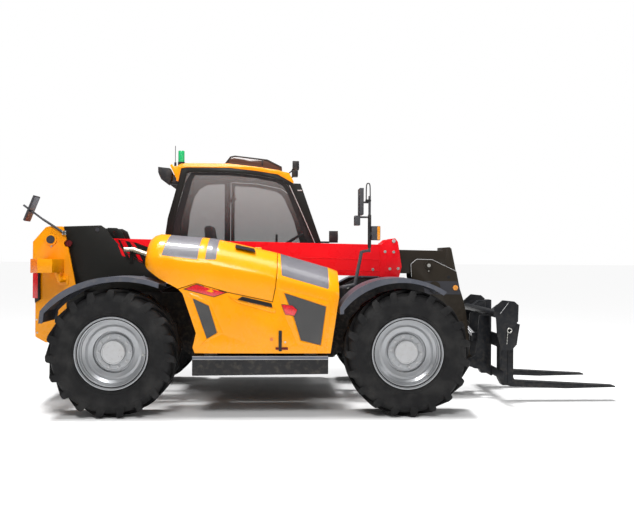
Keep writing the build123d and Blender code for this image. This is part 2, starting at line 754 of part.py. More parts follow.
def hinge_point(x):
    """A point on the hood's hinge line, which runs straight through both hinges."""
    (x0, z0), (x1, z1) = ((place, ridge(place) + lift) for place, lift in hood_hinges)
    return (x, -pod_inner, z0 + (z1 - z0) * (x - x0) / (x1 - x0))


# Openings that the grilles fill, as (outline, outward side where the cut starts, and where it ends).
side_windows = [
    [(front(-1145), 1141), (front(-761), 1017), (front(-809), 665), (front(-991), 709), (front(-1056), 922)],
    [(rear(731), 1089), (rear(880), 1020), (rear(956), 777), (rear(864), 721)],
]
hood_vents = [
    [(rear(440), 1480), (rear(489), 1690), (rear(790), 1690), (rear(770), 1441)],
    [(rear(840), 1442), (rear(860), 1690), (rear(955), 1690), (rear(939), 1442)],
]
front_vents = [[(front(-1168), 1300), (front(-1190), 1600), (front(-730), 1500), (front(-736), 1176)]]
with BuildPart() as housing:
    add(pod_outside)
    add(pod_inside, mode=Mode.SUBTRACT)
    extrude(grown(hood_region, panel_gap / 2), amount=overall_width, mode=Mode.SUBTRACT)
    for outline in side_windows + front_vents:
        start = 780 if outline in front_vents else 900
        with BuildSketch(side_plane(-start)) as face:
            with BuildLine():
                Polyline(*outline, close=True)
            make_face()
            fillet(face.vertices(), 12)
        extrude(face.sketch, amount=400, mode=Mode.SUBTRACT)
    # The wall beside the boom stays shut under the hood.
    slab(
        [(rear(330), 1390), (rear(330), 1600), (rear(900), 1590), (front(-1204), 1462), (front(-1204), 1100),
         (rear(640), 1100), (rear(640), 1180)], -pod_inner - pod_wall, -pod_inner,
    )
    for x, _ in hood_hinges:
        level = hinge_point(x)[2]
        bar(hinge_point(x - 44), hinge_point(x + hinge_half), hinge_pin)
        block(x - 44, x - hinge_half - 4, -pod_inner - 12, -pod_inner + hinge_pin, level - 110, level + 6)
save(housing, "engine_housing")

with BuildPart() as hood:
    add(pod_outside)
    add(pod_inside, mode=Mode.SUBTRACT)
    extrude(grown(hood_region, -panel_gap / 2), amount=overall_width, mode=Mode.INTERSECT)
    block(rear(0), front(0), hood_edge, 0, deck_height, 2200, mode=Mode.SUBTRACT)
    for outline in hood_vents:
        with BuildSketch(side_plane(-740)) as face:
            with BuildLine():
                Polyline(*outline, close=True)
            make_face()
            fillet(face.vertices(), 10)
        extrude(face.sketch, amount=400, mode=Mode.SUBTRACT)
    for x, _ in hood_hinges:
        level = hinge_point(x)[2]
        bar(hinge_point(x - hinge_half), hinge_point(x + hinge_half), hinge_sleeve)
        block(x - hinge_half, x + hinge_half, -pod_inner - 50, -pod_inner, level - 26, level - 2)
        bar(hinge_point(x - 60), hinge_point(x + 60), hinge_pin + running_gap, mode=Mode.SUBTRACT)
save(hood, "engine_hood")

# Grilles follow the same skin, one seat gap inside their openings.
for name, outlines in (("hood_grilles", hood_vents), ("housing_grilles", side_windows + front_vents)):
    with BuildPart() as grilles:
        add(pod_outside)
        add(pod_inside, mode=Mode.SUBTRACT)
        with BuildPart(mode=Mode.PRIVATE) as cutters:
            for outline in outlines:
                start = 740 if outline in hood_vents else 780 if outline in front_vents else 900
                with BuildSketch(side_plane(-start)) as face:
                    with BuildLine():
                        Polyline(*outline, close=True)
                    make_face()
                    fillet(face.vertices(), 12 - 2 * (outline in hood_vents))
                    offset(amount=-seat_gap, kind=Kind.INTERSECTION)
                extrude(face.sketch, amount=400)
        add(cutters.part, mode=Mode.INTERSECT)
    save(grilles, name)

# Sill boxes under the housing and the cab.
sill_outline = [
    (rear(733), 386), (rear(733), deck_height - bearer), (front(-738), deck_height - bearer),
    (front(-738), 400),
]
for name, side in (("sill_box_right", -1), ("sill_box_left", 1)):
    with BuildPart() as sill:
        low, high = sorted((side * 620, side * (overall_width / 2 - 12)))
        slab(sill_outline, low, high, 8)
    save(sill, name)

# ---- Cab on the left side ----
cab_outline = [
    (rear(262), 1380), (rear(251), 1711), (rear(277), 1894), (rear(391), 2305), (rear(420), roof_height - 58),
    (rear(480), roof_height - 48), (rear(930), roof_height - 46), (front(-1465), roof_height - 78),
    (front(-1226), roof_height - 114), (front(-1050), roof_height - 212), (front(-972), roof_height - 214),
    (front(-745), 1650), (front(-690), 1300), (front(-680), 1060), (front(-735), deck_height),
    (rear(760), deck_height), (rear(742), 640), (rear(772), 771), (rear(648), 1132), (rear(594), 1185),
    (rear(437), 1290),
]
belt = 1250                # below this the cab stands outside the frame's side plate
cab_foot = frame_half + 30


def cab_body(inset):
    """The cab's body, drawn in on every side by an inset."""
    with BuildPart() as body:
        for y0, trim in ((cab_inner, False), (cab_foot, True)):
            with BuildSketch(side_plane(cab_outer - inset)) as face:
                with BuildLine():
                    Polyline(*cab_outline, close=True)
                make_face()
                if inset:
                    offset(amount=-inset, kind=Kind.INTERSECTION)
                if not trim:
                    with BuildSketch(Plane.XY, mode=Mode.PRIVATE) as lower:
                        with Locations((0, belt + inset - 1500)):
                            Rectangle(9000, 3000)
                    add(lower.sketch, mode=Mode.SUBTRACT)
            extrude(face.sketch, amount=cab_outer - y0 - 2 * inset)
    return body.part


door_rear = 900            # rear edge of the door's opening, forward of the rear axle
door_outline = [
    (rear(door_rear), 730), (front(-800), 730), (front(-770), 1060), (front(-782), 1300),
    (front(-838), 1640), (front(-1082), 2240), (front(-1190), 2316), (front(-1470), 2372),
    (rear(door_rear), 2388),
]
right_window = [
    (rear(338), 1440), (rear(326), 1712), (rear(350), 1880), (rear(456), 2290), (rear(482), 2396),
    (rear(520), 2404), (rear(930), 2406), (front(-1470), 2380), (front(-1225), 2338), (front(-1128), 2290),
    (front(-1075), 2215), (front(-838), 1640), (front(-808), 1440),
]
quarter_window = [
    (rear(372), 1440), (rear(374), 1712), (rear(392), 1850), (rear(402), 1984), (rear(459), 2200),
    (rear(518), 2296), (rear(617), 2350), (rear(830), 2364), (rear(830), 1440),
]
door_window = [
    (rear(door_rear + 50), 1230), (front(-925), 1230), (front(-950), 1630), (front(-1029), 1905),
    (front(-1069), 2003), (front(-1148), 2180), (front(-1190), 2236), (front(-1252), 2276),
    (front(-1500), 2326), (rear(door_rear + 50), 2340),
]
door_hinge_x = rear(door_rear) + panel_gap / 2
door_hinge_y = cab_outer + hinge_sleeve + 2
door_hinges = (1000, 2180)
# End windows, as (y low, y high, z low, z high) of the opening in the cab's rear and front faces.
rear_window = (cab_inner + 64, cab_outer - 64, 1470, 2230)
windscreen = (cab_inner + 64, cab_outer - 64, 1330, 2230)
foot_window = (cab_foot + 60, cab_outer - 64, 800, 1230)
cab_outside = cab_body(0)
cab_inside = cab_body(cab_wall)
with BuildPart() as cab:
    add(cab_outside)
    add(cab_inside, mode=Mode.SUBTRACT)
    slab(right_window, cab_inner - 10, cab_inner + cab_wall + 10, 20, Mode.SUBTRACT)
    slab(quarter_window, cab_outer - cab_wall - 10, cab_outer + 10, 20, Mode.SUBTRACT)
    slab(door_outline, cab_outer - cab_wall - 10, cab_outer + 10, 26, Mode.SUBTRACT)
    for (y0, y1, z0, z1), x0, x1 in (
        (rear_window, rear(150), rear(470)), (windscreen, front(-1080), front(-600)),
        (foot_window, front(-800), front(-600)),
    ):
        with BuildSketch(cross_plane(x0)) as opening:
            with Locations(((y0 + y1) / 2, (z0 + z1) / 2)):
                RectangleRounded(y1 - y0, z1 - z0, 30)
        extrude(opening.sketch, amount=x1 - x0, mode=Mode.SUBTRACT)
    # Hinge pins for the door stand on arms behind its rear edge.
    for z in door_hinges:
        bar((door_hinge_x, door_hinge_y, z - 44), (door_hinge_x, door_hinge_y, z + hinge_half), hinge_pin)
        block(
            door_hinge_x - 40, door_hinge_x + hinge_pin, cab_outer, door_hinge_y + hinge_pin,
            z - 44, z - hinge_half - 4,
        )
save(cab, "cab_frame")

door_body = cab_outer - cab_wall
with BuildPart() as door:
    fitted(door_outline, cab_outer, cab_wall - 4, panel_gap, 26)
    slab(door_window, cab_outer - cab_wall - 10, cab_outer + 10, 22, Mode.SUBTRACT)
    block(
        rear(door_rear + 35), front(-860), door_body + 20, cab_outer - 12, 800, 1160, mode=Mode.SUBTRACT
    )
    for z in door_hinges:
        bar(
            (door_hinge_x, door_hinge_y, z - hinge_half), (door_hinge_x, door_hinge_y, z + hinge_half),
            hinge_sleeve,
        )
        block(
            door_hinge_x, door_hinge_x + 60, cab_outer - 4, door_hinge_y, z - hinge_half, z + hinge_half,
        )
        bar(
            (door_hinge_x, door_hinge_y, z - 60), (door_hinge_x, door_hinge_y, z + 60),
            hinge_pin + running_gap, mode=Mode.SUBTRACT,
        )
save(door, "cab_door")

pane_depth = 16
with BuildPart() as door_glass:
    fitted(door_window, cab_outer - pane_depth, glass, seat_gap, 22)
save(door_glass, "door_glass")

with BuildPart() as side_glass:
    fitted(right_window, cab_inner + pane_depth + glass, glass, seat_gap, 20)
    fitted(quarter_window, cab_outer - pane_depth, glass, seat_gap, 20)
save(side_glass, "cab_side_glass")

# The end panes follow the bend of the cab's outline between two offsets of it.
with BuildPart() as screens:
    for inset, mode in ((pane_depth, Mode.ADD), (pane_depth + glass, Mode.SUBTRACT)):
        with BuildSketch(side_plane(cab_outer)) as face:
            with BuildLine():
                Polyline(*cab_outline, close=True)
            make_face()
            offset(amount=-inset, kind=Kind.INTERSECTION)
        extrude(face.sketch, amount=cab_outer - cab_inner, mode=mode)
    with BuildPart(mode=Mode.PRIVATE) as cutters:
        for (y0, y1, z0, z1), x0, x1 in (
            (rear_window, rear(150), rear(470)), (windscreen, front(-1080), front(-600)),
            (foot_window, front(-800), front(-600)),
        ):
            with BuildSketch(cross_plane(x0)) as opening:
                with Locations(((y0 + y1) / 2, (z0 + z1) / 2)):
                    RectangleRounded(y1 - y0 - 2 * seat_gap, z1 - z0 - 2 * seat_gap, 30)
            extrude(opening.sketch, amount=x1 - x0)
    add(cutters.part, mode=Mode.INTERSECT)
save(screens, "windscreen")

roof_outline = [
    (rear(391), 2305), (rear(420), roof_height - 58), (rear(480), roof_height - 48),
    (rear(930), roof_height - 46), (front(-1465), roof_height - 78), (front(-1226), roof_height - 114),
    (front(-1050), roof_height - 212), (front(-1050), roof_height - 190), (front(-1100), roof_height - 96),
    (front(-1160), roof_height - 84), (front(-1226), roof_height - 66), (front(-1465), roof_height - 32),
    (rear(934), roof_height), (rear(480), roof_height), (rear(410), roof_height - 50), (rear(366), 2310),
]
hatch_outline = [
    (rear(883), roof_height), (rear(950), roof_height + 92), (rear(1000), roof_height + 104),
    (front(-1345), roof_height + 64), (front(-1180), roof_height - 20), (front(-1180), roof_height - 78.4),
    (front(-1226), roof_height - 66), (front(-1465), roof_height - 32), (rear(934), roof_height),
]
# Horns at both rear corners, scooped along their top edge, with a low deck between them.
horn_outline = [
    (rear(299), 2477), (rear(318), 2490), (rear(340), 2468), (rear(372), 2464), (rear(410), 2490),
    (rear(480), roof_height), (rear(480), roof_height - 48), (rear(420), roof_height - 58),
    (rear(391), 2305), (rear(380), 2303),
]
horn_width = 52
deck_top = roof_height - 41
with BuildPart() as roof:
    slab(roof_outline, cab_inner - 8, cab_outer + 6)
    slab(horn_outline, cab_inner - 8, cab_inner - 8 + horn_width)
    slab(horn_outline, cab_outer + 6 - horn_width, cab_outer + 6)
    block(rear(318), rear(425), cab_inner, cab_outer, deck_top - 14, deck_top)
save(roof, "cab_roof")
with BuildPart() as hatch:
    slab(hatch_outline, cab_inner + 120, cab_outer - 120)
save(hatch, "roof_hatch")

# Inside the cab.
floor_z = deck_height + cab_wall
seat_x, seat_y = rear(930), 700
with BuildPart() as seat:
    block(seat_x - 170, seat_x + 190, seat_y - 200, seat_y + 200, floor_z + 440, floor_z + 500)
    block(seat_x - 220, seat_x + 240, seat_y - 240, seat_y + 240, floor_z + 500, floor_z + 620)
    slab(
        [(seat_x - 230, floor_z + 560), (seat_x - 110, floor_z + 600), (seat_x - 190, floor_z + 1230),
         (seat_x - 300, floor_z + 1210)], seat_y - 235, seat_y + 235, 30,
    )
save(seat, "seat")
with BuildPart() as pedestal:
    slab(
        [(rear(870), floor_z), (rear(1130), floor_z), (rear(1120), floor_z + 440), (rear(760), floor_z + 440),
         (rear(790), floor_z + 340)], seat_y - 190, seat_y + 190,
    )
save(pedestal, "seat_pedestal")
wheel_tilt = 32
wheel_centre = Vector(front(-1095), seat_y, 1650)
tilt = Vector(-sin(radians(wheel_tilt)), 0, cos(radians(wheel_tilt)))
column_radius = 26
column_end = wheel_centre - tilt * 160
with BuildPart() as dash:
    slab(
        [(front(-1010), floor_z), (front(-905), floor_z), (front(-860), 1180), (front(-830), 1560),
         (front(-900), 1640), (front(-1060), 1560), (front(-1040), 1180)], 520, 880, 24,
    )
    slab(
        [(rear(740), 1160), (rear(1250), 1060), (rear(1280), 1240), (rear(860), 1330), (rear(740), 1330)],
        cab_foot + cab_wall, cab_foot + cab_wall + 80, 20,
    )
    bar(
        tuple(wheel_centre - tilt * 10), tuple(column_end - tilt * seat_gap),
        column_radius + seat_gap, mode=Mode.SUBTRACT,
    )
save(dash, "dashboard")
with BuildPart() as steering:
    wheel_plane = Plane(origin=wheel_centre, z_dir=tilt)
    with BuildSketch(Plane(origin=wheel_centre, x_dir=(0, 1, 0), z_dir=wheel_plane.x_dir)) as ring:
        with Locations((175, 0)):
            Circle(14)
    revolve(ring.sketch, axis=Axis(wheel_centre, tilt))
    with BuildSketch(wheel_plane) as spokes:
        Rectangle(30, 346)
        Rectangle(170, 30, align=(Align.MIN, Align.CENTER))
        Circle(40)
    extrude(spokes.sketch, amount=8, both=True)
    bar(tuple(wheel_centre), tuple(column_end), column_radius)
save(steering, "steering_wheel")

# ---- Mirrors, lamps and exhaust ----
with BuildPart() as front_mirror:
    mast_y = -950
    block(front(-640), front(-560), mast_y - 40, mast_y + 40, 1180, 1200)
    bar((front(-600), mast_y, 1190), (front(-483), mast_y, 1214), 16)
    bar((front(-483), mast_y, 1206), (front(-419), mast_y, 1530), 16)
    bar((front(-419), mast_y, 1525), (front(-346), mast_y, 1536), 14)
    bar((front(-346), mast_y, 1520), (front(-346), mast_y, 2050), 12)
    bar((front(-350), mast_y, 1990), (front(-420), mast_y, 1990), 9)
    bar((front(-350), mast_y, 1850), (front(-440), mast_y, 1850), 9)
    block(front(-448), front(-412), mast_y - 90, mast_y + 90, 1870, 2117)
    block(front(-488), front(-440), mast_y - 60, mast_y + 60, 1772, 1862)
    block(front(-327), front(-250), mast_y - 45, mast_y + 45, 1634, 1765)
    block(front(-340), front(-320), mast_y - 12, mast_y + 12, 1680, 1710)
save(front_mirror, "front_mirror")

with BuildPart() as rear_mirror:
    arm_y = -tail_inner - tail_plate - 14
    bar((rear(-640), arm_y, 1700), (rear(-849), arm_y, 1834), 12)
    bar((rear(-849), arm_y, 1834), (rear(6 - rear_overhang), arm_y, 1974), 10)
    block(rear(-655), rear(-615), arm_y - 14, arm_y + 14, 1680, 1720)
    slab(
        [(rear(-902), 2062), (rear(-916), 2068), (rear(-1014), 1822), (rear(-1001), 1812)],
        arm_y - 80, arm_y + 80,
    )
save(rear_mirror, "rear_mirror")

with BuildPart() as work_lamps:
    for y in (cab_inner + 100, cab_outer - 100):
        # Rear lamps hang behind the roof's horns.
        slab(
            [(rear(160), 2462), (rear(286), 2450), (rear(314), 2394), (rear(296), 2296), (rear(272), 2268),
             (rear(196), 2326), (rear(164), 2396)], y - 62, y + 62,
        )
        slab(
            [(rear(290), 2278), (rear(290), 2300), (rear(389.5), 2300), (rear(384), 2280)],
            y - 20, y + 20,
        )
    for y in (cab_inner + 90, cab_outer - 90):
        block(front(-1062), front(-990), y - 60, y + 60, 2455, 2545)
        slab(
            [(front(-1062), 2455), (front(-1040), 2455), (front(-1100), roof_height - 95.7),
             (front(-1112), roof_height - 93.3)], y - 20, y + 20,
        )
    # Lamp on an arm in front of the cab's pillar.
    block(front(-647), front(-554), cab_inner - 18, cab_inner + 82, 1636, 1765)
    slab(
        [(front(-745), 1650), (front(-646), 1650), (front(-646), 1630), (front(-741.8), 1630)],
        cab_inner + 22, cab_inner + 42,
    )
save(work_lamps, "work_lamps")

with BuildPart() as beacon:
    beacon_x, beacon_y = rear(368), 600
    bar((beacon_x, beacon_y, deck_top), (beacon_x, beacon_y, deck_top + 98), 40)
    bar((beacon_x, beacon_y, deck_top + 98), (beacon_x, beacon_y, 2692), 36)
    # Foot and rod of the aerial.
    aerial_x, aerial_y = rear(342), cab_inner + 90
    bar((aerial_x, aerial_y, deck_top), (aerial_x, aerial_y, deck_top + 58), 13)
    bar((aerial_x, aerial_y, deck_top + 58), (aerial_x, aerial_y, 2706), 5)
save(beacon, "beacon")

lamp_root = tail_inner + tail_plate
with BuildPart() as lamp_boxes:
    for side in (-1, 1):
        low, high = sorted((side * lamp_root, side * 760))
        block(rear(-842), rear(-640), low, high, 1306, 1437)
        # Bent tube and foot plate below the box.
        low, high = sorted((side * lamp_root, side * (lamp_root + 10)))
        block(rear(-682), rear(-592), low, high, 1180, 1270)
        elbow = (rear(-640), side * (lamp_root + 130), 1226)
        bar((rear(-637), side * (lamp_root + 8), 1226), elbow, 22)
        bar(elbow, (rear(-672), side * (lamp_root + 130), 1310), 22)
        with Locations(elbow):
            Sphere(22)
save(lamp_boxes, "lamp_boxes")

with BuildPart() as tail_lamps:
    for side in (-1, 1):
        low, high = sorted((side * lamp_root, side * (lamp_root + 30)))
        slab([(rear(-935), 1298), (rear(-867), 1298), (rear(-866), 1033), (rear(-915), 998)], low, high)
save(tail_lamps, "tail_lamps")

# Liners that close the rear arches towards the tail plates.
with BuildPart() as liners:
    for side in (-1, 1):
        low, high = sorted((side * lamp_root, side * (lamp_root + 10)))
        slab(
            [(rear(-606), 930), (rear(-612), 990), (rear(-560), 1100), (rear(-500), 1166), (rear(-440), 1166),
             (rear(-440), 930)], low, high,
        )
save(liners, "arch_liners")

with BuildPart() as exhaust:
    pipe_y = -frame_half - tower_plate - 90
    bar((rear(-40), pipe_y, 1536), (rear(60), pipe_y, 1536), 24)
    bar((rear(56), pipe_y, 1536), (rear(222), pipe_y, 1475), 24)
    block(rear(-4), rear(32), -frame_half - tower_plate - 8, -frame_half - tower_plate, 1400, 1550)
    block(rear(-4), rear(32), pipe_y, -frame_half - tower_plate - 8, 1520, 1550)
save(exhaust, "exhaust_pipe")
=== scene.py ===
"""Looks of a telescopic handler: its finishes, tyres, trim and small fittings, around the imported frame."""

import json
import logging
import math
from collections.abc import Iterable, Iterator, Sequence
from contextlib import contextmanager
from dataclasses import dataclass
from enum import Enum

import bpy
from mathutils import Matrix, Vector

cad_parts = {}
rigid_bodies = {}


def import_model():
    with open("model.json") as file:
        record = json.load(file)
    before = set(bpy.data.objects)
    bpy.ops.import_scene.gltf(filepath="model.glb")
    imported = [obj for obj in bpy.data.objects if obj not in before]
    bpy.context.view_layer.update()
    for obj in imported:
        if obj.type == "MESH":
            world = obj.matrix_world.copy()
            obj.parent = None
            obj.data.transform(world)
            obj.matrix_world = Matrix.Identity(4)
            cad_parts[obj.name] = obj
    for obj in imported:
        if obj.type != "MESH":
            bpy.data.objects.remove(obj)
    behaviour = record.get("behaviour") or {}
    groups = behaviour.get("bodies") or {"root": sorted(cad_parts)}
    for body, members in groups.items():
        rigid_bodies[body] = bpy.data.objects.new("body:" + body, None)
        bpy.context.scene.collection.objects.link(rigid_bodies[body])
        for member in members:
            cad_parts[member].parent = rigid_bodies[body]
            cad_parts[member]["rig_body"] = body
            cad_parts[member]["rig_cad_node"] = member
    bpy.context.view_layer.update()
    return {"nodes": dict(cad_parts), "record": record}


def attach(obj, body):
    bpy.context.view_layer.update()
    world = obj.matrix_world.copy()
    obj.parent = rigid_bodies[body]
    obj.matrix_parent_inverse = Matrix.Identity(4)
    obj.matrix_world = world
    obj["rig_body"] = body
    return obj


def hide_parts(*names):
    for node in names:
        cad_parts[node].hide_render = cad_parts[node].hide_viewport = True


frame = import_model()

log = logging.getLogger("handler")
Point = tuple[float, float, float]
Colour = tuple[float, float, float]
Outline = Sequence[tuple[float, float]]
Piece = bpy.types.Object
Socket = bpy.types.NodeSocket

TURN = 2 * math.pi
LOOK = "look_"  # starts every material's name, apart from those that come with the frame
FACING = 0.9  # a face is picked if the cosine between its normal and the asked way is above this
MERGE = 1e-5  # points nearer than this are one
DUST = (0.32, 0.27, 0.2)


class Side(Enum):
    """A side of the machine, as the sign of its Y."""

    LEFT = 1
    RIGHT = -1

    @property
    def tag(self) -> str:
        """The side's name, as it ends the names of pieces."""
        return self.name.lower()


# ---------------------------------------------------------------- materials


class NodeSheet:
    """The nodes of one material, added from the pattern to the surface."""

    def __init__(self, name: str) -> None:
        """Starts an empty material.

        Args:
            name: The material's name.
        """
        self.material = bpy.data.materials.new(LOOK + name)
        self.material.use_nodes = True
        self.tree = self.material.node_tree
        self.tree.nodes.clear()
        self.place = self.add("ShaderNodeTexCoord").outputs["Object"]

    def add(self, kind: str, sockets: dict | None = None, **settings: object) -> bpy.types.Node:
        """Adds a node, with its settings and its sockets' values or links.

        Args:
            kind: The node's type.
            sockets: Values, or sockets to link, by input name or number.
            settings: Properties of the node.

        Returns:
            The new node.
        """
        node = self.tree.nodes.new(kind)
        for key, value in settings.items():
            setattr(node, key, value)
        for key, value in (sockets or {}).items():
            if isinstance(value, Socket):
                self.tree.links.new(value, node.inputs[key])
            else:
                node.inputs[key].default_value = value
        return node

    def noise(self, scale: float, detail: float = 3.0, stretch: Point = (1.0, 1.0, 1.0)) -> Socket:
        """A noise pattern.

        Args:
            scale: Cells in a metre.
            detail: How many finer layers are added.
            stretch: How much the pattern is squeezed along each axis.

        Returns:
            The pattern's value, from 0 to 1.
        """
        place = self.add("ShaderNodeMapping", {"Vector": self.place, "Scale": stretch}).outputs[0]
        return self.add("ShaderNodeTexNoise", {"Vector": place, "Scale": scale, "Detail": detail}).outputs[0]

    def ramp(self, source: Socket, low: float, high: float, start: float = 0.0, end: float = 1.0) -> Socket:
        """Maps a value from low...high to start...end, held at both ends."""
        return self.add("ShaderNodeMapRange", {0: source, 1: low, 2: high, 3: start, 4: end}).outputs[0]

    def drift(self, scale: float, detail: float, start: float, end: float) -> Socket:
        """A value that drifts between two ends in soft patches."""
        return self.ramp(self.noise(scale, detail), 0.3, 0.7, start, end)

    def cells(self, scale: float, **settings: object) -> Socket:
        """A pattern of cells, as the distance from their middles."""
        inputs = {"Vector": self.place, "Scale": scale}
        return self.add("ShaderNodeTexVoronoi", inputs, **settings).outputs["Distance"]

    def waves(self, pitch: float, *lines: Socket) -> Socket:
        """The product of two sine waves of one pitch, along two measures."""
        turns = [self.maths("MULTIPLY", line, TURN / pitch) for line in lines]
        return self.maths("MULTIPLY", *(self.maths("SINE", turn) for turn in turns))

    def maths(self, operation: str, first: Socket | float, second: Socket | float = 0.0) -> Socket:
        """A sum of two values, or of one."""
        return self.add("ShaderNodeMath", {0: first, 1: second}, operation=operation).outputs[0]

    def blend(self, share: Socket | float, under: Socket | Colour, over: Socket | Colour) -> Socket:
        """Mixes two colours.

        Args:
            share: How much of the second colour shows.
            under: The first colour.
            over: The second colour.

        Returns:
            The mixed colour.
        """
        node = self.add("ShaderNodeMix", {0: share}, data_type="RGBA")
        for number, value in ((6, under), (7, over)):
            if isinstance(value, Socket):
                self.tree.links.new(value, node.inputs[number])
            else:
                node.inputs[number].default_value = (*value, 1.0)
        return node.outputs[2]

    def axis(self, letter: str) -> Socket:
        """One coordinate of the place, by its letter."""
        return self.add("ShaderNodeSeparateXYZ", {0: self.place}).outputs[letter]

    def bump(self, height: Socket, depth: float, strength: float = 1.0) -> Socket:
        """Turns a pattern into relief.

        Args:
            height: The pattern.
            depth: Metres between its lowest and highest value.
            strength: How much of the relief shows.

        Returns:
            The bent normal.
        """
        return self.add("ShaderNodeBump", {"Height": height, "Distance": depth, "Strength": strength}).outputs[0]

    def surface(self, colour: Socket | Colour, **sockets: object) -> bpy.types.Material:
        """Closes the material with one surface shader.

        Args:
            colour: The base colour.
            sockets: Other inputs, with underscores for the spaces of their names.

        Returns:
            The finished material.
        """
        values = {key.replace("_", " "): value for key, value in sockets.items()}
        values["Base Color"] = colour if isinstance(colour, Socket) else (*colour, 1.0)
        shader = self.add("ShaderNodeBsdfPrincipled", values)
        self.add("ShaderNodeOutputMaterial", {"Surface": shader.outputs[0]})
        return self.material


def shade(colour: Colour, factor: float) -> Colour:
    """A colour made darker or lighter."""
    return tuple(min(1.0, part * factor) for part in colour)


@dataclass(frozen=True)
class Paint:
    """Sprayed paint, with a faint ripple, uneven gloss and a little road dust low down."""

    name: str
    colour: Colour
    roughness: float = 0.28
    coat: float = 0.55
    ripple: float = 0.00012
    dust: float = 0.1
    metallic: float = 0.0
    shine: float = 0.18

    def material(self) -> bpy.types.Material:
        """Builds the paint.

        Returns:
            The material.
        """
        sheet = NodeSheet(self.name)
        tone = sheet.blend(sheet.drift(2.3, 4.0, 0.0, 1.0), shade(self.colour, 0.94), shade(self.colour, 1.05))
        low = sheet.ramp(sheet.axis("Z"), 1.3, 0.3)
        speck = sheet.ramp(sheet.noise(26.0, 6.0), 0.45, 0.8)
        dusty = sheet.maths("MULTIPLY", sheet.maths("MULTIPLY", low, speck), self.dust)
        gloss = sheet.drift(7.0, 5.0, self.roughness * 0.85, self.roughness * 1.2)
        return sheet.surface(
            sheet.blend(dusty, tone, DUST),
            Roughness=sheet.maths("ADD", gloss, sheet.maths("MULTIPLY", dusty, 1.5)),
            Specular_IOR_Level=self.shine,
            Coat_Weight=self.coat,
            Coat_Roughness=0.08,
            Metallic=self.metallic,
            Normal=sheet.bump(sheet.noise(420.0, 2.0), self.ripple),
        )


@dataclass(frozen=True)
class Plastic:
    """Moulded plastic with a fine grain."""

    name: str
    colour: Colour
    roughness: float = 0.5
    grain: float = 0.0003
    dust: float = 0.15

    def material(self) -> bpy.types.Material:
        """Builds the plastic.

        Returns:
            The material.
        """
        sheet = NodeSheet(self.name)
        tone = sheet.blend(sheet.drift(5.0, 4.0, 0.0, 1.0), shade(self.colour, 0.88), shade(self.colour, 1.14))
        speck = sheet.maths("MULTIPLY", sheet.ramp(sheet.noise(18.0, 6.0), 0.5, 0.85), self.dust)
        return sheet.surface(
            sheet.blend(speck, tone, DUST),
            Roughness=sheet.drift(11.0, 4.0, self.roughness * 0.9, self.roughness * 1.12),
            Specular_IOR_Level=0.22,
            Normal=sheet.bump(sheet.cells(520.0, feature="SMOOTH_F1"), self.grain),
        )


@dataclass(frozen=True)
class Rubber:
    """Tyre rubber, with a dry bloom and fine moulding marks."""

    name: str
    colour: Colour = (0.011, 0.011, 0.0115)
    bloom: Colour = (0.036, 0.035, 0.034)
    roughness: float = 0.7

    def material(self) -> bpy.types.Material:
        """Builds the rubber.

        Returns:
            The material.
        """
        sheet = NodeSheet(self.name)
        patch = sheet.ramp(sheet.noise(6.5, 7.0), 0.42, 0.78, 0.0, 0.75)
        return sheet.surface(
            sheet.blend(patch, self.colour, self.bloom),
            Roughness=sheet.drift(20.0, 4.0, self.roughness * 0.85, self.roughness * 1.15),
            Specular_IOR_Level=0.14,
            Normal=sheet.bump(sheet.noise(160.0, 4.0), 0.0007),
        )


@dataclass(frozen=True)
class Metal:
    """Bare or plated metal, with drawn streaks and uneven gloss."""

    name: str
    colour: Colour
    roughness: float = 0.25
    streak: Point = (1.0, 1.0, 1.0)
    tint: Colour | None = None

    def material(self) -> bpy.types.Material:
        """Builds the metal.

        Returns:
            The material.
        """
        sheet = NodeSheet(self.name)
        grain = sheet.noise(90.0, 5.0, self.streak)
        other = self.tint or shade(self.colour, 0.8)
        return sheet.surface(
            sheet.blend(sheet.ramp(sheet.noise(9.0, 4.0), 0.35, 0.7), self.colour, other),
            Metallic=1.0,
            Roughness=sheet.ramp(grain, 0.3, 0.7, self.roughness * 0.7, self.roughness * 1.4),
            Normal=sheet.bump(grain, 0.0001),
        )


@dataclass(frozen=True)
class Pane:
    """Tinted glass that lets the view through, with a faint film on it, and on some panes a painted sky
    reflection that grows paler towards the top.
    """

    name: str
    colour: Colour
    opacity: float = 0.25
    roughness: float = 0.03
    # Colour of a painted sky reflection, which the pane's colour turns into towards its upper edge, if it has
    # one.
    band: Colour | None = None

    def material(self) -> bpy.types.Material:
        """Builds the glass.

        Returns:
            The material.
        """
        sheet = NodeSheet(self.name)
        film = sheet.ramp(sheet.noise(3.0, 5.0), 0.4, 0.8, self.roughness, self.roughness * 3.0)
        tint = self.colour
        # Paler towards the top: a painted reflection of the bright sky, not a tint of the glass.
        if self.band:
            tint = sheet.blend(sheet.ramp(sheet.axis("Z"), 1.7, 2.45), self.colour, self.band)
        return sheet.surface(tint, Roughness=film, Alpha=self.opacity, Specular_IOR_Level=0.4)


@dataclass(frozen=True)
class Lens:
    """A moulded lamp lens or reflector, ribbed on its face, with a painted glow of its own colour."""

    name: str
    colour: Colour
    # Emission of the lens's own colour: a painted glow, with no lit lamp behind it.
    glow: float = 0.0
    pitch: float = 0.008

    def material(self) -> bpy.types.Material:
        """Builds the lens.

        Returns:
            The material.
        """
        sheet = NodeSheet(self.name)
        rib = sheet.cells(1 / self.pitch)
        return sheet.surface(
            sheet.blend(sheet.ramp(rib, 0.1, 0.6), self.colour, shade(self.colour, 0.55)),
            Roughness=0.12,
            Coat_Weight=0.7,
            # A painted glow: the lens shines in its own colour with no lit lamp behind it.
            Emission_Color=(*self.colour, 1.0),
            Emission_Strength=self.glow,
            Normal=sheet.bump(rib, 0.0012),
        )


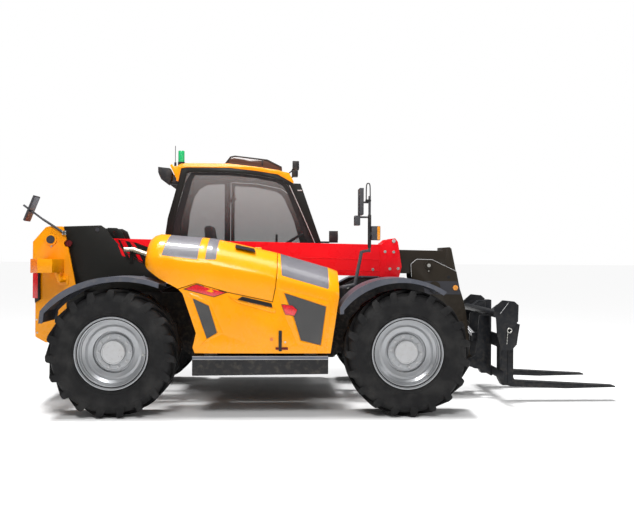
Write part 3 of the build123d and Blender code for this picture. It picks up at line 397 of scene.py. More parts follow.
@dataclass(frozen=True)
class Mesh:
    """A punched grille sheet: rows of holes in a grey skin, the holes painted dark as the shade behind the
    sheet.
    """

    name: str
    colour: Colour
    # Colour of the holes: painted shade of the space behind the sheet.
    hole: Colour = (0.012, 0.012, 0.014)
    pitch: float = 0.0075

    def material(self) -> bpy.types.Material:
        """Builds the punched sheet, with rows along X and up the face.

        Returns:
            The material.
        """
        sheet = NodeSheet(self.name)
        climb = sheet.maths("SUBTRACT", sheet.axis("Z"), sheet.axis("Y"))
        hole = sheet.ramp(sheet.waves(self.pitch, sheet.axis("X"), climb), 0.15, 0.5)
        tone = sheet.blend(
            sheet.ramp(sheet.noise(3.2, 3.0), 0.3, 0.75), shade(self.colour, 0.8), shade(self.colour, 1.3)
        )
        return sheet.surface(
            # The holes take the painted shade colour.
            sheet.blend(hole, tone, self.hole),
            Roughness=0.42,
            Coat_Weight=0.25,
            Normal=sheet.bump(sheet.maths("SUBTRACT", 1.0, hole), 0.001),
        )


@dataclass(frozen=True)
class Weave:
    """Seat cloth: threads over and under each other, with a soft sheen."""

    name: str
    colour: Colour
    thread: float = 0.004

    def material(self) -> bpy.types.Material:
        """Builds the cloth.

        Returns:
            The material.
        """
        sheet = NodeSheet(self.name)
        climb = sheet.maths("ADD", sheet.axis("Z"), sheet.axis("X"))
        cloth = sheet.ramp(sheet.waves(self.thread, sheet.axis("Y"), climb), -1.0, 1.0)
        tone = sheet.blend(cloth, shade(self.colour, 0.6), shade(self.colour, 1.5))
        return sheet.surface(
            sheet.blend(sheet.ramp(sheet.noise(14.0, 4.0), 0.4, 0.8, 0.0, 0.4), tone, shade(self.colour, 2.0)),
            Roughness=0.9,
            Sheen_Weight=0.4,
            Normal=sheet.bump(cloth, 0.0008),
        )


class Finish(Enum):
    """Every finish on the machine."""

    YELLOW = Paint("yellow_gloss", (0.83, 0.3, 0.001), 0.26, 0.22)
    RED = Paint("red_gloss", (0.78, 0.003, 0.01), 0.28, 0.16)
    BLACK = Paint("black_satin", (0.009, 0.009, 0.008), 0.42, 0.03, 0.0002)
    BROWN_BLACK = Paint("brown_black", (0.022, 0.017, 0.012), 0.36, 0.06, 0.0002)
    BAND = Paint("band_grey", (0.04, 0.04, 0.047), 0.4, 0.05)
    UNDERBODY = Paint("underbody_black", (0.012, 0.012, 0.013), 0.55, 0.0, 0.0003, 0.3)
    CARRIAGE = Paint("carriage_black", (0.009, 0.01, 0.0125), 0.4, 0.06, 0.0002)
    RIM = Paint("rim_silver", (0.33, 0.34, 0.355), 0.32, 0.1, 0.0001, 0.12, 0.6, 0.5)
    HUB = Paint("hub_grey", (0.44, 0.445, 0.455), 0.4, 0.0, 0.0004, 0.2, 0.3, 0.4)
    ENGINE = Paint("engine_grey", (0.16, 0.165, 0.17), 0.55, 0.0, 0.0006, 0.3)
    FENDER = Plastic("fender_plastic", (0.075, 0.08, 0.098), 0.42, 0.0003)
    TRIM = Plastic("trim_plastic", (0.016, 0.016, 0.018), 0.5)
    CAB_PLASTIC = Plastic("cab_plastic", (0.05, 0.05, 0.055), 0.6, 0.0004, 0.05)
    SILL = Plastic("sill_black", (0.016, 0.016, 0.017), 0.55, 0.0004)
    GREY_STRIP = Plastic("step_strip", (0.11, 0.12, 0.15), 0.4)
    PAD = Plastic("pad_plastic", (0.6, 0.58, 0.5), 0.45, 0.0002)
    # Black rubber and print, and also the dark discs that paint the shade inside holes and the exhaust pipe.
    SEAL = Plastic("rubber_seal", (0.012, 0.012, 0.013), 0.65, 0.0002, 0.05)
    TYRE = Rubber("tyre_rubber")
    CHROME = Metal("rod_chrome", (0.82, 0.82, 0.84), 0.09, (1.0, 30.0, 1.0))
    ZINC = Metal("bolt_zinc", (0.62, 0.61, 0.57), 0.3)
    PIPE = Metal("pipe_steel", (0.66, 0.6, 0.48), 0.3, (1.0, 1.0, 1.0), (0.5, 0.4, 0.28))
    MIRROR = Metal("mirror_glass", (0.12, 0.125, 0.145), 0.3)
    # The last colour is a painted sky reflection, paler towards the top of the panes.
    GLASS = Pane("smoked_glass", (0.03, 0.03, 0.03), 0.34, 0.03, (0.3, 0.3, 0.3))
    # A grille's hole colour is painted shade seen through its holes.
    GRILLE = Mesh("grille_mesh", (0.15, 0.145, 0.165), (0.05, 0.05, 0.055))
    SIDE_GRILLE = Mesh("side_grille_mesh", (0.05, 0.05, 0.05))
    FABRIC = Weave("seat_cloth", (0.03, 0.03, 0.034))
    # The lenses' third value is a painted glow.
    RED_LENS = Lens("red_lens", (0.75, 0.006, 0.012), 0.12)
    RED_BADGE = Lens("red_reflector", (0.78, 0.01, 0.02), 0.1, 0.011)
    AMBER = Lens("amber_lens", (0.95, 0.34, 0.01), 0.15)
    ORANGE = Lens("orange_reflector", (0.88, 0.2, 0.005), 0.1)
    LAMP = Lens("lamp_lens", (0.62, 0.65, 0.7), 0.05)
    DARK_RED = Plastic("dark_red_cap", (0.09, 0.004, 0.006), 0.4, 0.0001, 0.0)
    GREEN = Lens("green_dome", (0.01, 0.5, 0.16), 0.25, 0.012)
    HATCH_SHELL = Paint("smoked_hatch", (0.07, 0.034, 0.024), 0.14, 0.8, 0.0001, 0.0)
    # Pale grey for silver parts, and for thin lines that paint the highlight along an edge.
    SILVER_EDGE = Paint("silver_edge", (0.42, 0.42, 0.42), 0.35, 0.3, 0.0001, 0.0)
    # Black label plastic, and also the dark plate that paints the shade inside the hood's vent slot.
    LABEL = Plastic("label_black", (0.012, 0.012, 0.013), 0.3, 0.0001, 0.0)

    @property
    def material(self) -> bpy.types.Material:
        """The finish's material, built when it is first asked for."""
        found = bpy.data.materials.get(LOOK + self.value.name)
        return found or self.value.material()


# ---------------------------------------------------------------- places


REAR_AXLE = -1.973
FRONT_AXLE = 0.737
AXLE_HEIGHT = 0.585


def at(x: float, y: float, z: float) -> Point:
    """A place, with x measured forward from the rear axle."""
    return (x + REAR_AXLE, y, z)


# The engine housing, as (x from the rear axle, ridge, half width, radius of its shoulder).
HOUSING_SECTIONS = (
    (0.24, 1.49, 0.8, 0.12), (0.266, 1.577, 0.915, 0.155), (0.294, 1.625, 0.985, 0.185),
    (0.335, 1.656, 1.032, 0.21), (0.39, 1.672, 1.062, 0.225), (0.9, 1.632, 1.106, 0.245),
    (1.5, 1.497, 1.112, 0.235), (1.985, 1.357, 1.112, 0.205), (2.07, 1.325, 1.09, 0.19),
)


def section(x: float) -> tuple[float, ...]:
    """The housing's section.

    Args:
        x: The distance from the rear axle.

    Returns:
        Its ridge, half width and shoulder radius there.
    """
    for before, after in zip(HOUSING_SECTIONS, HOUSING_SECTIONS[1:]):
        if before[0] <= x <= after[0]:
            share = (x - before[0]) / (after[0] - before[0])
            return tuple(a + share * (b - a) for a, b in zip(before[1:], after[1:]))
    return HOUSING_SECTIONS[-1][1:]


def skin(x: float) -> float:
    """How far the housing's side is from the middle plane at an x from the rear axle."""
    return section(x)[1]


def shoulder(x: float, degrees: float, out: float = 0.0) -> Point:
    """A place on the housing's rounded shoulder.

    Args:
        x: The distance from the rear axle.
        degrees: The angle up from the housing's side.
        out: How far the place is off the skin.

    Returns:
        The place.
    """
    ridge, half, radius = section(x)
    angle, reach = math.radians(degrees), radius + out
    return at(x, -(half - radius + reach * math.cos(angle)), ridge - radius + reach * math.sin(angle))


def flat(outline: Outline, y: float) -> list[Point]:
    """An outline of (x, z) laid on an upright plane at a y."""
    return [at(x, y, z) for x, z in outline]


def on_skin(outline: Outline, out: float = 0.0) -> list[Point]:
    """An outline of (x, z) laid on the housing's side, some way outward."""
    return [at(x, -skin(x) - out, z) for x, z in outline]


def grown(outline: Outline, amount: float) -> list[tuple[float, float]]:
    """An outline with every side moved outwards, its corners kept sharp.

    Args:
        outline: The corners, as (x, z).
        amount: How far the sides move, inwards if negative.

    Returns:
        The new corners.
    """
    area = sum(a[0] * b[1] - b[0] * a[1] for a, b in zip(outline, [*outline[1:], outline[0]]))
    amount = math.copysign(amount, area * amount)
    corners = []
    for number, corner in enumerate(outline):
        before, after = Vector(outline[number - 1]), Vector(outline[(number + 1) % len(outline)])
        come, leave = (Vector(corner) - before).normalized(), (after - Vector(corner)).normalized()
        side = Vector((come.y, -come.x)) + Vector((leave.y, -leave.x))
        corners.append(tuple(Vector(corner) + side * amount / (1 + come.dot(leave))))
    return corners


def between(first: Outline, second: Outline, share: float) -> list[tuple[float, float]]:
    """The outline part of the way from one outline to another with as many corners."""
    return [tuple(Vector(a).lerp(Vector(b), share)) for a, b in zip(first, second)]


def ring(centre: Point, radius: float, count: int, start: float = 0.0) -> list[Point]:
    """Evenly spaced places round an axle along Y, the first at an angle in degrees."""
    angles = (math.radians(start) + TURN * number / count for number in range(count))
    return [(centre[0] + radius * math.sin(a), centre[1], centre[2] + radius * math.cos(a)) for a in angles]


# ---------------------------------------------------------------- the bench


class Bench:
    """Modelling steps, as by hand in edit mode, that the sub-assemblies share."""

    @staticmethod
    def clear() -> None:
        """Leaves edit mode and deselects everything."""
        if bpy.context.object and bpy.context.object.mode != "OBJECT":
            bpy.ops.object.mode_set(mode="OBJECT")
        bpy.ops.object.select_all(action="DESELECT")

    @staticmethod
    def pick(*pieces: Piece) -> None:
        """Selects some pieces alone.

        Args:
            pieces: The pieces; the first becomes the active one.
        """
        Bench.clear()
        for piece in pieces:
            piece.select_set(True)
        bpy.context.view_layer.objects.active = pieces[0]

    @staticmethod
    @contextmanager
    def editing(piece: Piece, whole: bool = True) -> Iterator[None]:
        """Holds a piece in edit mode.

        Args:
            piece: The piece to edit.
            whole: Whether all of it is selected first, rather than what was picked before.
        """
        Bench.pick(piece)
        bpy.ops.object.mode_set(mode="EDIT")
        if whole:
            bpy.ops.mesh.select_all(action="SELECT")
        yield
        bpy.ops.object.mode_set(mode="OBJECT")

    @staticmethod
    def named(name: str) -> Piece:
        """Names the primitive just added, and puts its place into its mesh.

        Args:
            name: The new name.

        Returns:
            The primitive.
        """
        piece = bpy.context.object
        piece.name = piece.data.name = name
        bpy.ops.object.transform_apply(location=True, rotation=True, scale=True)
        return piece

    @staticmethod
    def pick_faces(piece: Piece, direction: Sequence[float], both: bool = False) -> None:
        """Selects, in object mode, the faces that look along a direction.

        Args:
            piece: The piece.
            direction: The direction.
            both: Whether faces that look the other way are selected too.
        """
        way = Vector(direction).normalized()
        for part in (*piece.data.edges, *piece.data.vertices):
            part.select = False
        for face in piece.data.polygons:
            along = face.normal.dot(way)
            face.select = (abs(along) if both else along) > FACING

    @staticmethod
    def push(step: Sequence[float]) -> None:
        """Extrudes what is selected in edit mode by a step."""
        bpy.ops.mesh.extrude_region_move(TRANSFORM_OT_translate={"value": Vector(step)})

    @staticmethod
    def outward(piece: Piece) -> Piece:
        """Merges the doubled points of a piece and turns its faces outwards.

        Args:
            piece: The piece.

        Returns:
            The same piece.
        """
        with Bench.editing(piece):
            bpy.ops.mesh.remove_doubles(threshold=MERGE)
            bpy.ops.mesh.normals_make_consistent(inside=False)
        return piece

    @staticmethod
    def modify(piece: Piece, kind: str, **settings: object) -> Piece:
        """Adds a modifier and applies it.

        Args:
            piece: The piece.
            kind: The modifier's type.
            settings: The modifier's settings.

        Returns:
            The same piece.
        """
        Bench.pick(piece)
        modifier = piece.modifiers.new(kind.title(), kind)
        for key, value in settings.items():
            setattr(modifier, key, value)
        bpy.ops.object.modifier_apply(modifier=modifier.name)
        return piece

    @staticmethod
    def soften(piece: Piece, width: float, segments: int = 2, angle: float = 30.0) -> Piece:
        """Rounds a piece's edges that are sharper than an angle in degrees."""
        limits = {"limit_method": "ANGLE", "angle_limit": math.radians(angle), "harden_normals": False}
        return Bench.modify(piece, "BEVEL", width=width, segments=segments, **limits)

    @staticmethod
    def smooth(piece: Piece, angle: float) -> Piece:
        """Shades a piece smooth.

        Args:
            piece: The piece.
            angle: Edges sharper than this, in degrees, stay sharp.

        Returns:
            The same piece.
        """
        Bench.pick(piece)
        bpy.ops.object.shade_smooth_by_angle(angle=math.radians(angle))
        return piece

    @staticmethod
    def carve(piece: Piece, cutter: Piece) -> None:
        """Cuts a closed shape out of a piece, and drops the cutter."""
        Bench.modify(piece, "BOOLEAN", object=cutter, operation="DIFFERENCE", solver="EXACT")
        bpy.data.objects.remove(cutter)

    @staticmethod
    def copy(piece: Piece, name: str, shift: Matrix) -> Piece:
        """A copy with its own mesh.

        Args:
            piece: The piece to copy.
            name: The copy's name.
            shift: The matrix that moves the copy, or mirrors it.

        Returns:
            The copy.
        """
        twin = piece.copy()
        twin.data = piece.data.copy()
        twin.name = twin.data.name = name
        bpy.context.scene.collection.objects.link(twin)
        twin.data.transform(shift)
        if shift.determinant() < 0:
            twin.data.flip_normals()
        return twin

    @staticmethod
    def join(name: str, pieces: Sequence[Piece]) -> Piece:
        """Joins pieces into one.

        Args:
            name: The joined piece's name.
            pieces: The pieces.

        Returns:
            The joined piece.
        """
        Bench.pick(*pieces)
        if len(pieces) > 1:
            bpy.ops.object.join()
        pieces[0].name = pieces[0].data.name = name
        return pieces[0]

    @staticmethod
    def brick(name: str, low: Sequence[float], high: Sequence[float], edge: float) -> Piece:
        """A block with rounded edges.

        Args:
            name: The block's name.
            low: One of its corners.
            high: The corner across from it.
            edge: Width of the rounding.

        Returns:
            The block.
        """
        Bench.clear()
        low, high = Vector(map(min, low, high)), Vector(map(max, low, high))
        bpy.ops.mesh.primitive_cube_add(size=1.0, location=(low + high) / 2, scale=high - low)
        piece = Bench.named(name)
        with Bench.editing(piece):
            bpy.ops.mesh.bevel(offset=edge, segments=2, affect="EDGES")
        return piece

    @staticmethod
    def rod(
        name: str, start: Sequence[float], end: Sequence[float], radius: float, sides: int = 24,
        edge: float = 0.0,
    ) -> Piece:
        """A round bar between two points.

        Args:
            name: The rod's name.
            start: The middle of one end.
            end: The middle of the other end.
            radius: Its radius.
            sides: How many facets go round.
            edge: Width of the rounding of both rims.

        Returns:
            The rod.
        """
        Bench.clear()
        start, end = Vector(start), Vector(end)
        way = end - start
        bpy.ops.mesh.primitive_cylinder_add(
            vertices=sides, radius=radius, depth=way.length, location=(start + end) / 2,
            rotation=way.to_track_quat("Z", "Y").to_euler(),
        )
        piece = Bench.named(name)
        if edge:
            Bench.pick_faces(piece, way, both=True)
            with Bench.editing(piece, whole=False):
                bpy.ops.mesh.region_to_loop()
                bpy.ops.mesh.bevel(offset=edge, segments=2, affect="EDGES")
        return piece

    @staticmethod
    def chain(name: str, points: Sequence[Sequence[float]], closed: bool) -> Piece:
        """A line of edges through points, drawn by extruding one vertex.

        Args:
            name: The piece's name.
            points: The places that the line goes through.
            closed: Whether the last point is joined to the first.

        Returns:
            A piece of edges only.
        """
        Bench.clear()
        bpy.ops.mesh.primitive_plane_add(size=0.01)
        piece = Bench.named(name)
        with Bench.editing(piece):
            bpy.ops.mesh.merge(type="CENTER")
            bpy.ops.transform.translate(value=Vector(points[0]))
            for before, after in zip(points, points[1:]):
                Bench.push(Vector(after) - Vector(before))
        if closed:
            for vertex in piece.data.vertices:
                vertex.select = vertex.index in (0, len(points) - 1)
            with Bench.editing(piece, whole=False):
                bpy.ops.mesh.edge_face_add()
        return piece

    @staticmethod
    def plate(name: str, outline: Sequence[Point], depth: Point, edge: float = 0.0) -> Piece:
        """A flat plate.

        Args:
            name: The plate's name.
            outline: The corners of one face, in order.
            depth: The way and distance from that face to the other.
            edge: Width of the rounding of its edges.

        Returns:
            The plate.
        """
        piece = Bench.chain(name, outline, True)
        with Bench.editing(piece):
            bpy.ops.mesh.edge_face_add()
            Bench.push(depth)
        Bench.outward(piece)
        return Bench.soften(piece, edge) if edge else piece

    @staticmethod
    def sheets(name: str, outlines: Sequence[Outline], y: float, depth: float) -> Piece:
        """Flat sheets with outlines of (x, z), from a y to a depth beyond it, as one piece."""
        rows = enumerate(outlines)
        return Bench.join(name, [Bench.plate(f"{name}_{n}", flat(row, y), (0.0, depth, 0.0)) for n, row in rows])

    @staticmethod
    def lathe(name: str, profile: Outline, centre: Point, steps: int, closed: bool = False) -> Piece:
        """A turned shape about an axle along Y.

        Args:
            name: The piece's name.
            profile: Points as (radius, distance along Y from the centre).
            centre: The middle of the axle.
            steps: How many facets go round.
            closed: Whether the profile is a ring rather than a line.

        Returns:
            The turned piece.
        """
        middle = Vector(centre)
        piece = Bench.chain(name, [middle + Vector((0.0, reach, radius)) for radius, reach in profile], closed)
        with Bench.editing(piece):
            bpy.ops.mesh.spin(steps=steps, angle=TURN, center=middle, axis=(0.0, 1.0, 0.0))
        return Bench.outward(piece)

    @staticmethod
    def tube(name: str, points: Sequence[Point], radius: float, sides: int = 6) -> Piece:
        """A round tube along a smooth line.

        Args:
            name: The tube's name.
            points: The places that shape the line.
            radius: The tube's radius.
            sides: How finely it is rounded.

        Returns:
            The tube.
        """
        curve = bpy.data.curves.new(name, "CURVE")
        curve.dimensions, curve.bevel_depth, curve.bevel_resolution = "3D", radius, sides // 2
        curve.use_fill_caps = True
        line = curve.splines.new("NURBS")
        line.points.add(len(points) - 1)
        for spot, point in zip(line.points, points):
            spot.co = (*point, 1.0)
        line.order_u, line.use_endpoint_u, line.resolution_u = 3, True, 6
        piece = bpy.data.objects.new(name, curve)
        bpy.context.scene.collection.objects.link(piece)
        Bench.pick(piece)
        bpy.ops.object.convert(target="MESH")
        return Bench.smooth(bpy.context.object, 50.0)

    @staticmethod
    def bands(name: str, loops: Sequence[Sequence[Point]]) -> Piece:
        """A closed ring of bands, bridged between loops of points that lie side by side.

        Args:
            name: The ring's name.
            loops: Closed loops with the same number of points; the last is joined to the first.

        Returns:
            The ring.
        """
        strips = []
        for number, pair in enumerate(zip(loops, [*loops[1:], loops[0]])):
            lines = [Bench.chain(f"{name}_{number}_{end}", line, True) for end, line in enumerate(pair)]
            strip = Bench.join(f"{name}_{number}", lines)
            with Bench.editing(strip):
                bpy.ops.mesh.bridge_edge_loops()
            strips.append(strip)
        return Bench.outward(Bench.join(name, strips))

    @staticmethod
    def cluster(name: str, rows: Iterable[tuple], mirror: int = 1) -> Piece:
        """Small parts built from a table and joined.

        Args:
            name: The joined piece's name.
            rows: The parts, as (maker, places from the rear axle, *sizes).
            mirror: What every y is multiplied by.

        Returns:
            The joined piece.
        """
        parts = []
        for number, (make, places, *sizes) in enumerate(rows):
            spots = [at(x, y * mirror, z) for x, y, z in places]
            # A tube takes its places as one list; the others take a start and an end.
            spots = [spots] if make is Bench.tube else spots
            parts.append(make(f"{name}_{number}", *spots, *sizes))
        return Bench.join(name, parts)

    @staticmethod
    def trace(name: str, lines: Iterable[Outline], y: float, radius: float) -> Piece:
        """Thin rods along lines of (x, z) at a y, joined."""
        pairs = [pair for line in lines for pair in zip(line, line[1:])]
        return Bench.cluster(name, [(Bench.rod, [(x, y, z) for x, z in pair], radius, 8) for pair in pairs])

    @staticmethod
    def scatter(name: str, pattern: Piece, spots: Iterable[Point], way: Point) -> Piece:
        """Copies a small part standing along Z to many spots, facing one way, and drops the pattern.

        Args:
            name: The joined piece's name.
            pattern: The small part.
            spots: Where the copies go.
            way: The direction that their Z turns to.

        Returns:
            All the copies as one piece.
        """
        turn = Vector(way).to_track_quat("Z", "Y").to_matrix().to_4x4()
        twins = [
            Bench.copy(pattern, f"{name}_{number}", Matrix.Translation(Vector(spot)) @ turn)
            for number, spot in enumerate(spots)
        ]
        bpy.data.objects.remove(pattern)
        return Bench.join(name, twins)

    @staticmethod
    def bolts(name: str, radius: float, height: float, spots: Iterable[Point], out: int) -> Piece:
        """Hexagon bolt heads on washers, facing along Y.

        Args:
            name: The joined piece's name.
            radius: A head's radius over its corners.
            height: The height of head and washer together.
            spots: Where they stand.
            out: The sign of the Y that they face.

        Returns:
            All the bolts as one piece.
        """
        step = height * 0.25
        washer = Bench.rod("washer", (0, 0, 0), (0, 0, step), radius * 1.45, 20, height * 0.06)
        head = Bench.rod("head", (0, 0, step), (0, 0, height), radius, 6, height * 0.12)
        return Bench.scatter(name, Bench.join("bolt", [washer, head]), spots, (0, out, 0))


@dataclass(frozen=True)
class Round:
    """A round fitting that stands on an upright side."""

    name: str  # with a pair of braces where the side's name goes
    finish: Finish
    x: float
    z: float
    start: float  # how far outward from the side it starts and ends
    end: float
    radius: float
    sides: int = 32
    edge: float = 0.0


class SubAssembly:
    """A group of pieces that is built, dressed and set on its body."""

    body = "chassis"

    def place(
        self, piece: Piece, finish: Finish, body: str | None = None, angle: float = 35.0,
        stands_for: Sequence[str] = (), slot: str | None = None,
    ) -> Piece:
        """Dresses a finished piece and lets it ride on a body.

        Args:
            piece: The finished mesh.
            finish: Its finish.
            body: The body that it moves with, or the sub-assembly's own.
            angle: Edges sharper than this stay sharp.
            stands_for: Nodes that the piece replaces.
            slot: The record's material slot; not used.

        Returns:
            The piece.
        """
        if angle:
            Bench.smooth(piece, angle)
        piece.data.materials.clear()
        piece.data.materials.append(finish.material)
        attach(piece, body or self.body)
        if stands_for:
            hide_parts(*stands_for)
        log.info("%s: %d faces", piece.name, len(piece.data.polygons))
        return piece

    def rounds(self, parts: Iterable[Round], y: float, side: Side, body: str | None = None) -> None:
        """Sets round fittings on an upright side.

        Args:
            parts: The fittings.
            y: Where the side is.
            side: The way that they face.
            body: The body that they move with, or the sub-assembly's own.
        """
        for part in parts:
            rows = [(Bench.rod, [(part.x, y + reach * side.value, part.z) for reach in (part.start, part.end)],
                     part.radius, part.sides, part.edge)]
            self.place(Bench.cluster(part.name.format(side.tag), rows), part.finish, body)

    def build(self) -> None:
        """Builds every piece."""
        raise NotImplementedError


# ---------------------------------------------------------------- carried-over nodes


SLOT_FINISH = {
    "paint_yellow": Finish.YELLOW, "paint_red": Finish.RED, "paint_black": Finish.BLACK,
    "underbody_black": Finish.UNDERBODY, "rim_silver": Finish.RIM, "tyre_rubber": Finish.TYRE,
    "fender_plastic": Finish.FENDER, "grille_mesh": Finish.GRILLE, "smoked_glass": Finish.GLASS,
    "seat_fabric": Finish.FABRIC, "cab_plastic": Finish.CAB_PLASTIC, "cast_iron_grey": Finish.ENGINE,
    "rod_chrome": Finish.CHROME, "pad_plastic": Finish.PAD, "lamp_plastic": Finish.TRIM,
    "pipe_steel": Finish.PIPE,
}
NODE_FINISH = {
    "carriage": Finish.CARRIAGE, "forks": Finish.CARRIAGE, "sill_box_left": Finish.SILL,
    "sill_box_right": Finish.SILL, "boom_head": Finish.BROWN_BLACK, "boom_inner": Finish.BROWN_BLACK,
    "tail_lamps": Finish.LABEL, "boom_pivot_pin": Finish.BAND, "roof_hatch": Finish.HATCH_SHELL,
}
# Nodes whose edges are rounded in a copy, with the width of the rounding.
SOFTENED = {
    "boom_outer": 0.004, "boom_head": 0.004, "boom_tower": 0.005, "tail_plates": 0.005, "carriage": 0.003,
    "forks": 0.004, "engine_hood": 0.004, "engine_housing": 0.004, "cab_roof": 0.008, "cab_frame": 0.006,
    "cab_door": 0.005, "roof_hatch": 0.008, "sill_box_left": 0.006, "sill_box_right": 0.006,
    "counterweight": 0.01, "tail_lamps": 0.006, "lamp_boxes": 0.008, "rear_mirror": 0.004,
    "front_mirror": 0.003, "work_lamps": 0.01, "boom_inner": 0.003,
}
WELD = 0.00002  # points of a copied node that are nearer than this are joined
FLAT_ANGLE = 0.6  # faces that meet within this angle, in degrees, are made one


def carried_copy(node: str) -> Piece:
    """A copy of one of the construction's nodes, for reshaping.

    Args:
        node: The node's name.

    Returns:
        The copy, on no body yet.
    """
    source = frame["nodes"][node]
    piece = source.copy()
    piece.data = source.data.copy()
    piece.name = piece.data.name = node + "_rounded"
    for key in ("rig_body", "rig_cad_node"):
        del piece[key]
    piece.parent = None
    bpy.context.scene.collection.objects.link(piece)
    with Bench.editing(piece):
        bpy.ops.mesh.customdata_custom_splitnormals_clear()
        bpy.ops.mesh.remove_doubles(threshold=WELD)
        bpy.ops.mesh.dissolve_limited(angle_limit=math.radians(FLAT_ANGLE))
    return piece


class CarriedNodes(SubAssembly):
    """The construction's own nodes: dressed, and where an edge catches the light, rounded in a copy."""

    def build(self) -> None:
        """Dresses every node, or the rounded copy that stands for it."""
        slots = {row["node"]: row["material_slot"] for row in frame["record"]["subparts"]}
        for node, piece in frame["nodes"].items():
            finish = NODE_FINISH.get(node) or SLOT_FINISH[slots[node]]
            if node in SOFTENED:
                twin = Bench.soften(carried_copy(node), SOFTENED[node])
                self.place(twin, finish, piece["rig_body"], 32.0, [node], slots[node])
            else:
                piece.data.materials.clear()
                piece.data.materials.append(finish.material)


# ---------------------------------------------------------------- wheels


@dataclass
class Wheels(SubAssembly):
    """Four wheels: lugged tyres on stepped silver rims with their hubs and nuts."""

    middle: float = 0.917
    steps: int = 96
    lugs_a_side: int = 19
    # The tyre from its bead to its middle, as (radius, reach outward from the wheel's middle plane).
    carcass: Outline = (
        (0.307, 0.158), (0.3335, 0.1585), (0.341, 0.166), (0.352, 0.177), (0.357, 0.1845), (0.363, 0.1855),
        (0.367, 0.183), (0.385, 0.192), (0.41, 0.2), (0.44, 0.2045), (0.468, 0.2045), (0.474, 0.2065),
        (0.481, 0.2065), (0.487, 0.2035), (0.51, 0.199), (0.53, 0.187), (0.545, 0.165), (0.552, 0.12),
        (0.556, 0.06), (0.557, 0.0),
    )
    # A lug's top, as (reach outward, radius, sweep round the wheel in degrees, half width).
    lug: tuple = (
        (0.2, 0.47, -2.6, 0.03), (0.2065, 0.497, -1.7, 0.036), (0.2078, 0.545, -0.4, 0.035),
        (0.204, 0.572, 0.0, 0.029), (0.191, 0.5825, 0.5, 0.025), (0.162, 0.5837, 2.2, 0.025),
        (0.125, 0.5837, 5.8, 0.029), (0.085, 0.5837, 11.0, 0.033), (0.045, 0.5837, 17.0, 0.036),
        (-0.012, 0.5837, 26.0, 0.038),
    )
    # The way from a lug's top down into the carcass, and the rounding of its edges.
    lug_root: Point = (0.0, 0.024, -0.036)
    lug_edge: float = 0.006
    # Turned parts, as (radius, reach outward).
    rim: Outline = (
        (0.331, 0.161), (0.3335, 0.166), (0.333, 0.1705), (0.329, 0.172), (0.3235, 0.1705), (0.321, 0.165),
        (0.3185, 0.159), (0.308, 0.1545), (0.3, 0.153), (0.2965, 0.149), (0.2955, 0.127), (0.2925, 0.1215),
        (0.2865, 0.119), (0.2845, 0.115), (0.2835, 0.093), (0.2805, 0.0885), (0.2725, 0.0865),
        (0.2695, 0.083), (0.2685, 0.071), (0.2655, 0.067), (0.2435, 0.0655), (0.2395, 0.0675), (0.231, 0.0675),
        (0.2265, 0.0645), (0.1985, 0.0635), (0.193, 0.0615), (0.191, 0.057), (0.19, 0.034), (0.1, 0.034),
        (0.1, 0.02), (0.234, 0.02), (0.236, -0.075), (0.262, -0.085), (0.289, -0.112), (0.2945, -0.15),
        (0.32, -0.158), (0.323, -0.17), (0.329, -0.172), (0.333, -0.1705), (0.331, -0.161), (0.309, -0.156),
        (0.305, -0.11), (0.257, -0.078), (0.257, 0.076), (0.305, 0.108), (0.309, 0.156),
    )
    hub: Outline = (
        (0.0, 0.03), (0.172, 0.03), (0.1725, 0.061), (0.1695, 0.066), (0.164, 0.0675), (0.161, 0.0645),
        (0.1215, 0.0645), (0.1205, 0.0585), (0.0, 0.0585),
    )
    cap: Outline = (
        (0.0, 0.05), (0.1095, 0.05), (0.1085, 0.082), (0.107, 0.0985),
        (0.1045, 0.1015), (0.0985, 0.102), (0.0955, 0.0985), (0.0, 0.0985),
    )
    hub_face: float = 0.0645
    cap_face: float = 0.0985
    # Circles of small parts, as (radius, how many, angle of the first in degrees).
    nut_circle: tuple = (0.1425, 10, 18.0)
    screw_circle: tuple = (0.062, 6, 10.0)
    nipple_circle: tuple = (0.083, 1, 118.0)
    # A nut's cup, as (radius, width of its rim, depth), and parts that stand in it along Z.
    cup: tuple = (0.0205, 0.0035, 0.0055)
    cup_ends: tuple = ((0, 0, -0.003), (0, 0, 0.004))
    nut: tuple = ((0, 0, -0.002), (0, 0, 0.009), 0.0135, 6, 0.0015)
    stud: tuple = ((0, 0, 0), (0, 0, 0.014), 0.0065, 12, 0.001)
    nipple: tuple = ((0, 0, 0), (0, 0, 0.006), 0.009, 16, 0.0015)
    # A cap screw's radius and height.
    screw: tuple[float, float] = (0.0055, 0.004)
    # The valve's foot from the wheel's centre, and its two lengths, as (way, radius, sides, rounding).
    valve_foot: Point = (0.288, -0.093, -0.02)
    valve_parts: tuple = (((-0.006, -0.02, 0.0), 0.011, 16, 0.002), ((-0.01, -0.045, 0.0), 0.0055, 12, 0.001))
    # How far each wheel happens to have turned, as (end, axle, side, degrees).
    corners: tuple = (
        ("rear", REAR_AXLE, Side.RIGHT, 0.0), ("front", FRONT_AXLE, Side.RIGHT, 42.0),
        ("rear", REAR_AXLE, Side.LEFT, 150.0), ("front", FRONT_AXLE, Side.LEFT, 265.0),
    )

    def turned(self, name: str, profile: Outline, centre: Point, closed: bool = False) -> Piece:
        """A turned part of the right-hand wheel, from a profile of (radius, reach outward)."""
        return Bench.lathe(name, [(radius, -reach) for radius, reach in profile], centre, self.steps, closed)

